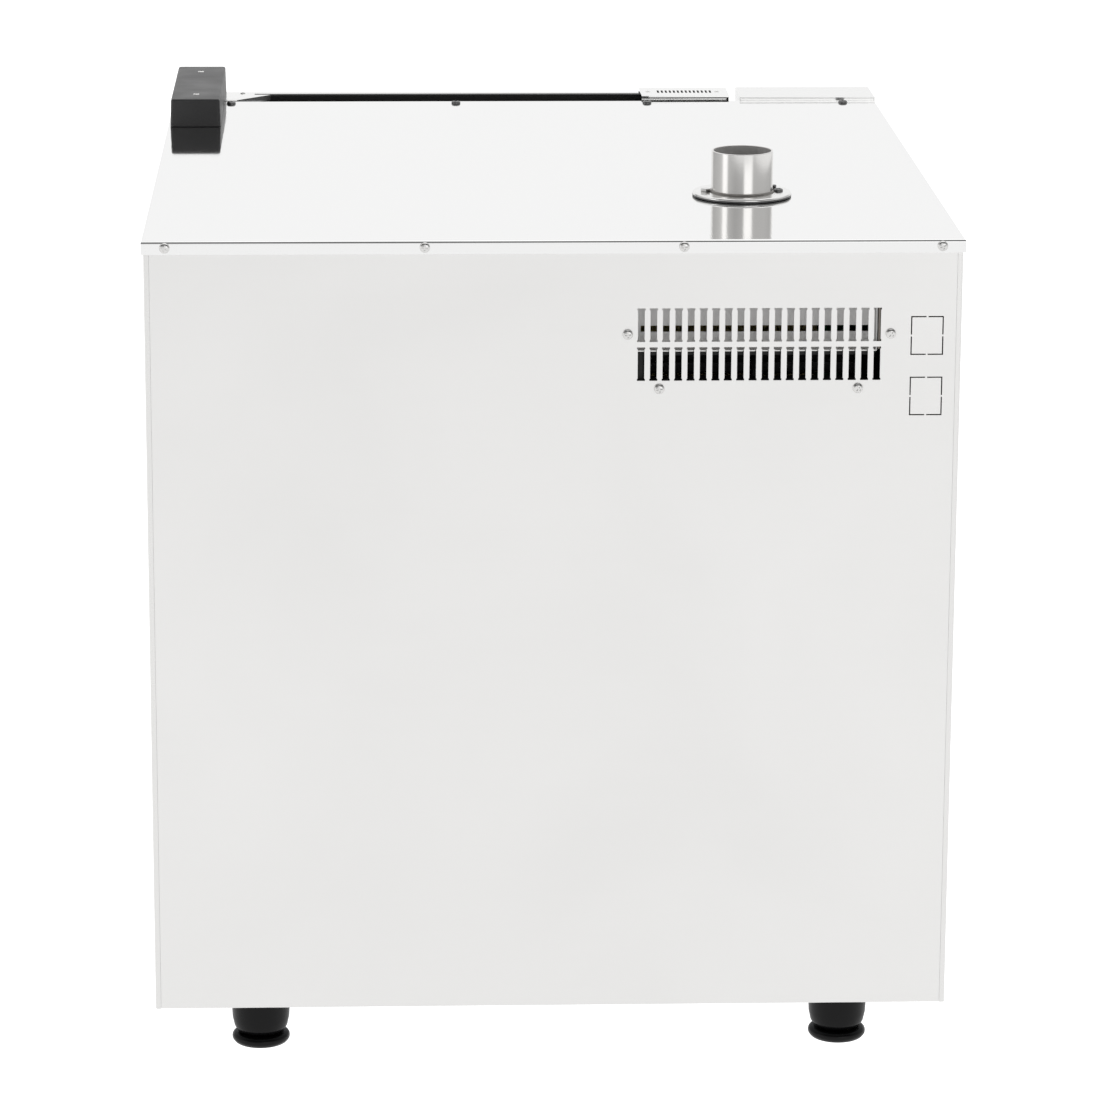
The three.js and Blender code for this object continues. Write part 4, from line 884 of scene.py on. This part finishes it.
for y in (cap_low.y + 32 * MM, cap_high.y - 27 * MM):
    cut_out(cap, cylinder("well", (cap_middle.x, y, cap_high.z), WELL_RADIUS, 8 * MM, 32))
    cap_place = Vector((cap_middle.x, y, cap_high.z - 0.9 * MM))
    cap_screw = driven(screw, f"cap_screw_{round(y / MM)}", cap_place, "z", 0.8, 0.74)
    fit(cap_screw, screw_steel, "cabinet")
fit_for(cap, black_moulding, "hinge_cover")

# ---------------------------------------------------------------- door
# A folded stainless frame round two panes. Black enamel borders the outer pane, and a black strip closes the
# top of the
# frame: partly a seal, partly painted shade for the deep gap inside the door. At the hinge side a plate with
# a slanted end covers the zinc-coated hinge arm.
door_steel = steel("door_steel", (0.95, 0.95, 0.945), (0.9, 0.9, 0.89), 0.14, ALONG_X, 0.04, 0.15, 0.06)
DOOR_RISE = 2.2 * MM
frame_low, frame_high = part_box("door_frame")
door_shell = merged_copy("door_frame", "finished_door_frame")
shape(
    door_shell, "faces", lambda at, way: way.z > 0.9 and at.z > frame_high.z - NEAR,
    bpy.ops.transform.translate, value=(0, 0, DOOR_RISE),
)
round_edges(door_shell, 0.35 * MM)
fit_for(door_shell, door_steel, "door_frame")
hinge_plate = merged_copy("door_hinge_plate", "finished_door_hinge_plate")
shape(
    hinge_plate, "faces", lambda at, way: way.z > 0.9,
    bpy.ops.transform.translate, value=(0, 0, DOOR_RISE + 0.3 * MM),
)
round_edges(hinge_plate, 0.3 * MM)
fit_for(hinge_plate, door_steel, "door_hinge_plate")
inner_black = speckled("inner_black", (0.007, 0.007, 0.007), (0.014, 0.014, 0.014), 0.6, 500, 0.2)
softened("door_inner_frame", inner_black, 1 * MM)


def glass(name, colour, second, roughness, transmission):
    """A pane with faint wiping marks."""
    material, tree, shader = empty_material(name)
    spot = tree.nodes.new("ShaderNodeTexCoord").outputs["Object"]
    smear = noise_node(tree, spot, 9.0, 3.0, 0.8)
    rough = math_node(tree, "ADD", math_node(tree, "MULTIPLY", smear, 0.05), roughness)
    link(tree, rough, shader.inputs["Roughness"])
    link(tree, mix_colours(tree, smear, (*colour, 1), (*second, 1)), shader.inputs["Base Color"])
    shader.inputs["Transmission Weight"].default_value = transmission
    shader.inputs["IOR"].default_value = 1.5
    return material


dark_glass = glass("dark_glass", (0.24, 0.25, 0.26), (0.2, 0.21, 0.22), 0.01, 0.85)
clear_glass = glass("clear_glass", (0.92, 0.95, 0.94), (0.88, 0.92, 0.91), 0.01, 0.95)
softened("door_outer_glass", dark_glass, 0.5 * MM)
softened("door_inner_glass", clear_glass, 0.5 * MM)
glass_low, glass_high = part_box("door_outer_glass")
view_low, view_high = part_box("door_inner_glass")
BORDER = 24 * MM
enamel_front = glass_high.y + 0.1 * MM
enamel_back = glass_high.y + 0.5 * MM
enamel = block(
    "glass_border",
    (glass_low.x, enamel_front, glass_low.z),
    (glass_high.x, enamel_back, glass_high.z),
)
view = block(
    "view",
    (view_low.x + BORDER, enamel_front - 1 * MM, view_low.z + BORDER),
    (view_high.x - BORDER, enamel_back + 1 * MM, view_high.z - BORDER),
)
cut_out(enamel, view)
fit(enamel, inner_black, "door")
plate_low, plate_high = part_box("door_hinge_plate")
# A black strip along the back of the door's top: partly a seal, partly painted shade that stands in for the
# deep gap into the door.
seal_and_gap_shade = block(
    "door_top_seal_and_gap_shade",
    (frame_low.x + 2 * MM, frame_high.y - 6.5 * MM, frame_high.z - 22 * MM),
    (plate_low.x + 14 * MM, frame_high.y + 0.5 * MM, frame_high.z + DOOR_RISE + 0.1 * MM),
)
round_edges(seal_and_gap_shade, 0.5 * MM)
fit(seal_and_gap_shade, inner_black, "door")
arm = block(
    "hinge_arm",
    (plate_low.x + 1 * MM, plate_low.y + 0.6 * MM, plate_low.z - 3.4 * MM),
    (plate_high.x - 4 * MM, plate_high.y - 0.4 * MM, plate_low.z - 0.6 * MM),
)
PIN_CLEARANCE = 9 * MM
pin_place = (frame_high.x - 13 * MM, (plate_low.y + plate_high.y) / 2, plate_low.z)
cut_out(arm, cylinder("pin_room", pin_place, PIN_CLEARANCE, 20 * MM, 40))
round_edges(arm, 0.4 * MM)
fit(arm, zinc, "door")

# ---------------------------------------------------------------- door vent plate
# A raised folded plate over the latch end of the door's top. It has fourteen short slots and two countersunk
# screws, and its rear lip hangs down towards the cabinet. A black block inside is painted shade for the
# slots and the gap under the fold.
low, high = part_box("door_vent_plate")
PLATE_SLOTS = 14
PLATE_SLOT_PITCH = 3.45 * MM
PLATE_SLOT_HALF_WIDTH = 0.85 * MM
PLATE_SLOT_HALF_LENGTH = 6.5 * MM
PLATE_RISE = 5.2 * MM
plate_top = high.z + PLATE_RISE
vent_plate = block(
    "slotted_plate",
    (low.x, low.y - 1.6 * MM, plate_top - SHEET),
    (high.x, high.y - 0.6 * MM, plate_top),
)
slots_y = low.y + 21 * MM
first_x = (low.x + high.x) / 2 - (PLATE_SLOTS - 1) / 2 * PLATE_SLOT_PITCH
small_slot = block(
    "small_slot",
    (first_x - PLATE_SLOT_HALF_WIDTH, slots_y - PLATE_SLOT_HALF_LENGTH, plate_top - 3 * MM),
    (first_x + PLATE_SLOT_HALF_WIDTH, slots_y + PLATE_SLOT_HALF_LENGTH, plate_top + MM),
)
apply_modifier(
    small_slot, "ARRAY", count=PLATE_SLOTS, use_relative_offset=False, use_constant_offset=True,
    constant_offset_displace=(PLATE_SLOT_PITCH, 0, 0),
)
cut_out(vent_plate, small_slot)
fit_for(vent_plate, door_steel, "door_vent_plate")
# Painted shade: a black block fills the plate's hollow, so the slots and the gap under the fold read dark.
plate_shade_block = block(
    "plate_shade_block",
    (low.x + 1 * MM, low.y + 1 * MM, high.z - 1 * MM),
    (high.x - 1 * MM, high.y - 1.6 * MM, plate_top - SHEET),
)
fit(plate_shade_block, inner_black, "door")
plate_lip = block(
    "plate_lip",
    (low.x + 2.6 * MM, high.y - 1.9 * MM, high.z - 1.2 * MM),
    (high.x, high.y - 0.9 * MM, plate_top - SHEET - 0.9 * MM),
)
round_edges(plate_lip, 0.25 * MM)
fit(plate_lip, door_steel, "door")
countersunk_outline = [(0, -1.0), (1.2, -1.0), (2.4, 0.05), (1.9, 0.25), (0, 0.35)]
countersunk = turned("countersunk", countersunk_outline, (0, 0, 0), steps=24)
cross_recess(countersunk, 0.6, 2.6, -0.4, 1)
door_screw_places = [
    (low.x + 9.5 * MM, slots_y, plate_top),
    (high.x - 6.6 * MM, slots_y, plate_top),
    (plate_low.x + 24 * MM, frame_high.y - 9 * MM, plate_high.z + DOOR_RISE + 0.4 * MM),
]
for number, place in enumerate(door_screw_places):
    piece = driven(countersunk, f"door_screw_{number}", Vector(place), "z", 0.5 * number)
    fit(piece, screw_steel, "door")

# ---------------------------------------------------------------- door lever
# A black moulded lever on a round boss. It hangs down from its hub, stands clear of the glass, and turns
# the latch through a steel spindle.
lever_moulding = speckled("lever_moulding", (0.02, 0.02, 0.021), (0.034, 0.034, 0.035), 0.32, 700, 0.2)
softened("handle_boss", lever_moulding, 1.2 * MM, 3)
softened("latch_spindle", zinc, 0.6 * MM)
lever_low, lever_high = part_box("door_handle")
hub_radius = (lever_high.x - lever_low.x) / 2
hub_x = (lever_low.x + lever_high.x) / 2
hub_z = lever_high.z - hub_radius
BAR_HALF = 13 * MM
BAR_THICK = 18 * MM
hub_length = (lever_high.y - lever_low.y) / MM
hub_outline = [(0, 0), (hub_radius / MM, 0), (hub_radius / MM, hub_length), (0, hub_length)]
hub = turned("lever", hub_outline, (hub_x, lever_high.y, hub_z), axis="-y", steps=64)
grip = block(
    "grip",
    (hub_x - BAR_HALF, lever_low.y, lever_low.z),
    (hub_x + BAR_HALF, lever_low.y + BAR_THICK, hub_z),
)
shape(
    grip, "edges", lambda at, way: abs(way.y) > 0.9 and at.z < lever_low.z + MM,
    bpy.ops.mesh.bevel, offset=BAR_HALF * 0.98, segments=10, affect="EDGES",
)
apply_modifier(hub, "BOOLEAN", operation="UNION", object=grip, solver="EXACT")
bpy.data.objects.remove(grip)
round_edges(hub, 2.6 * MM, 4, 40)
fit_for(hub, lever_moulding, "door_handle")

# ---------------------------------------------------------------- control column
# A folded stainless column with a black glass touch panel, a turn-and-push knob and a power button.
column_steel = steel(
    "column_steel", (0.93, 0.93, 0.925), (0.86, 0.86, 0.85), 0.16, ALONG_Z, line=0.05, cloud=0.15, bump=0.08
)
softened("control_housing", column_steel, 1 * MM, 4)
column_low, column_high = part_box("control_housing")
column_back = block(
    "column_back",
    (column_low.x + 1.2 * MM, column_high.y - 1.6 * MM, cover_high.z - 30 * MM),
    (column_high.x - 1.2 * MM, column_high.y - 0.1 * MM, column_high.z - 1 * MM),
)
fit(column_back, column_steel, "cabinet")
panel_glass = glass("panel_glass", (0.008, 0.009, 0.011), (0.006, 0.007, 0.009), 0.03, 0.0)
softened("control_glass", panel_glass, 0.6 * MM, 3)
softened("encoder_shaft", zinc, 0.3 * MM)
print_white = speckled("print_white", (0.75, 0.77, 0.78), (0.68, 0.7, 0.71), 0.5, 300, 0.05)
pane_low, pane_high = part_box("control_glass")
pane_x = (pane_low.x + pane_high.x) / 2
PRINT_THICKNESS = 0.12


def ring_print(name, centre, outer_radius, width):
    """A thin printed ring on the glass."""
    walls = ring_walls(outer_radius - width, outer_radius, 0, PRINT_THICKNESS)
    return turned(name, walls, centre, axis="-y", steps=40, closed=True)


def bar_print(name, centre, width, height):
    """A printed bar on the glass, its corners rounded."""
    half = Vector((width / 2, 0, height / 2)) * MM
    low_corner = Vector(centre) - half - Vector((0, PRINT_THICKNESS * MM, 0))
    bar = block(name, low_corner, Vector(centre) + half)
    shape(
        bar, "edges", lambda at, way: abs(way.y) > 0.9, bpy.ops.mesh.bevel,
        offset=min(width, height) * 0.45 * MM, segments=4, affect="EDGES",
    )
    return bar


prints = []
WINDOW_WIDTH = 74
WINDOW_HEIGHT = 92
LINE_WIDTH = 0.7
window_z = pane_high.z - 62 * MM
frame_bars = [
    (0, WINDOW_HEIGHT / 2, WINDOW_WIDTH, LINE_WIDTH),
    (0, -WINDOW_HEIGHT / 2, WINDOW_WIDTH, LINE_WIDTH),
    (-WINDOW_WIDTH / 2, 0, LINE_WIDTH, WINDOW_HEIGHT),
    (WINDOW_WIDTH / 2, 0, LINE_WIDTH, WINDOW_HEIGHT),
]
for x, z, width, height in frame_bars:
    prints.append(bar_print("window_line", (pane_x + x * MM, pane_low.y, window_z + z * MM), width, height))
TOUCH_ROWS = 4
TOUCH_PITCH = 38
TOUCH_REACH = 21
FIRST_ROW = 140
for row in range(TOUCH_ROWS):
    row_z = pane_high.z - (FIRST_ROW + row * TOUCH_PITCH) * MM
    for side in (-1, 1):
        key = (pane_x + side * TOUCH_REACH * MM, pane_low.y, row_z)
        prints.append(ring_print("touch_ring", key, 11, 0.8))
    for step in range(row + 1):
        mark = (pane_x - TOUCH_REACH * MM, pane_low.y, row_z + (step - row / 2) * 3 * MM)
        prints.append(bar_print("left_mark", mark, 7, 1.2))
    prints.append(ring_print("right_mark", (pane_x + TOUCH_REACH * MM, pane_low.y, row_z), 2.4 + row, 0.9))
for piece in prints:
    piece.data.materials.clear()
fit(joined("panel_print", prints), print_white, "cabinet")

knob_low, knob_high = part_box("encoder_knob")
knob_radius = (knob_high.x - knob_low.x) / 2 / MM
knob_height = (knob_high.y - knob_low.y) / MM
knob_centre = ((knob_low.x + knob_high.x) / 2, knob_high.y, (knob_low.z + knob_high.z) / 2)
knob_outline = [(0, 0), (knob_radius - 0.8, 0), (knob_radius - 0.8, 4)]
knob_outline += [(knob_radius - 1.4, knob_height - 1), (0, knob_height)]
knob = turned("knob", knob_outline, knob_centre, axis="-y", steps=60)
LONG_FACE = 20 * MM * MM
side_middles = [
    face.center.copy() for face in knob.data.polygons if abs(face.normal.y) < 0.3 and face.area > LONG_FACE
]
side_middles.sort(key=lambda at: math.atan2(at.x - knob_centre[0], at.z - knob_centre[2]))
flutes = side_middles[::2]
shape(
    knob, "faces", lambda at, way: any((at - flute).length < 0.001 * MM for flute in flutes),
    bpy.ops.mesh.inset, thickness=0.15 * MM, depth=-0.7 * MM, use_individual=True,
)
round_edges(knob, 0.5 * MM, 2, 40)
fit_for(knob, lever_moulding, "encoder_knob")
pointer = block(
    "knob_pointer",
    (knob_centre[0] - 0.8 * MM, knob_low.y - 0.02 * MM, knob_centre[2] + 8 * MM),
    (knob_centre[0] + 0.8 * MM, knob_low.y + 1.2 * MM, knob_centre[2] + 16 * MM),
)
round_edges(pointer, 0.3 * MM)
fit(pointer, print_white, "encoder_knob")

button_low, button_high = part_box("power_button")
button_radius = (button_high.x - button_low.x) / 2 / MM
button_length = (button_high.y - button_low.y) / MM
button_centre = ((button_low.x + button_high.x) / 2, button_high.y, (button_low.z + button_high.z) / 2)
button_outline = [(0, 0), (button_radius, 0), (button_radius, button_length)]
button_outline += [(button_radius - 2, button_length), (0, button_length - 0.8)]
button = turned("button", button_outline, button_centre, axis="-y")
round_edges(button, 0.5 * MM, 3)
fit_for(button, lever_moulding, "power_button")
power_ring = turned(
    "power_mark", ring_walls(3.4, 4.2, 0, 0.5),
    (button_centre[0], button_low.y + 0.75 * MM, button_centre[2]), axis="-y", steps=40, closed=True,
)
fit(power_ring, print_white, "power_button")

# ---------------------------------------------------------------- drip tray
# A shallow folded stainless tray under the door, which slides out forwards on the base pan's rails.
softened("drip_tray", side_steel, 0.4 * MM)

bpy.data.objects.remove(screw)
bpy.data.objects.remove(countersunk)
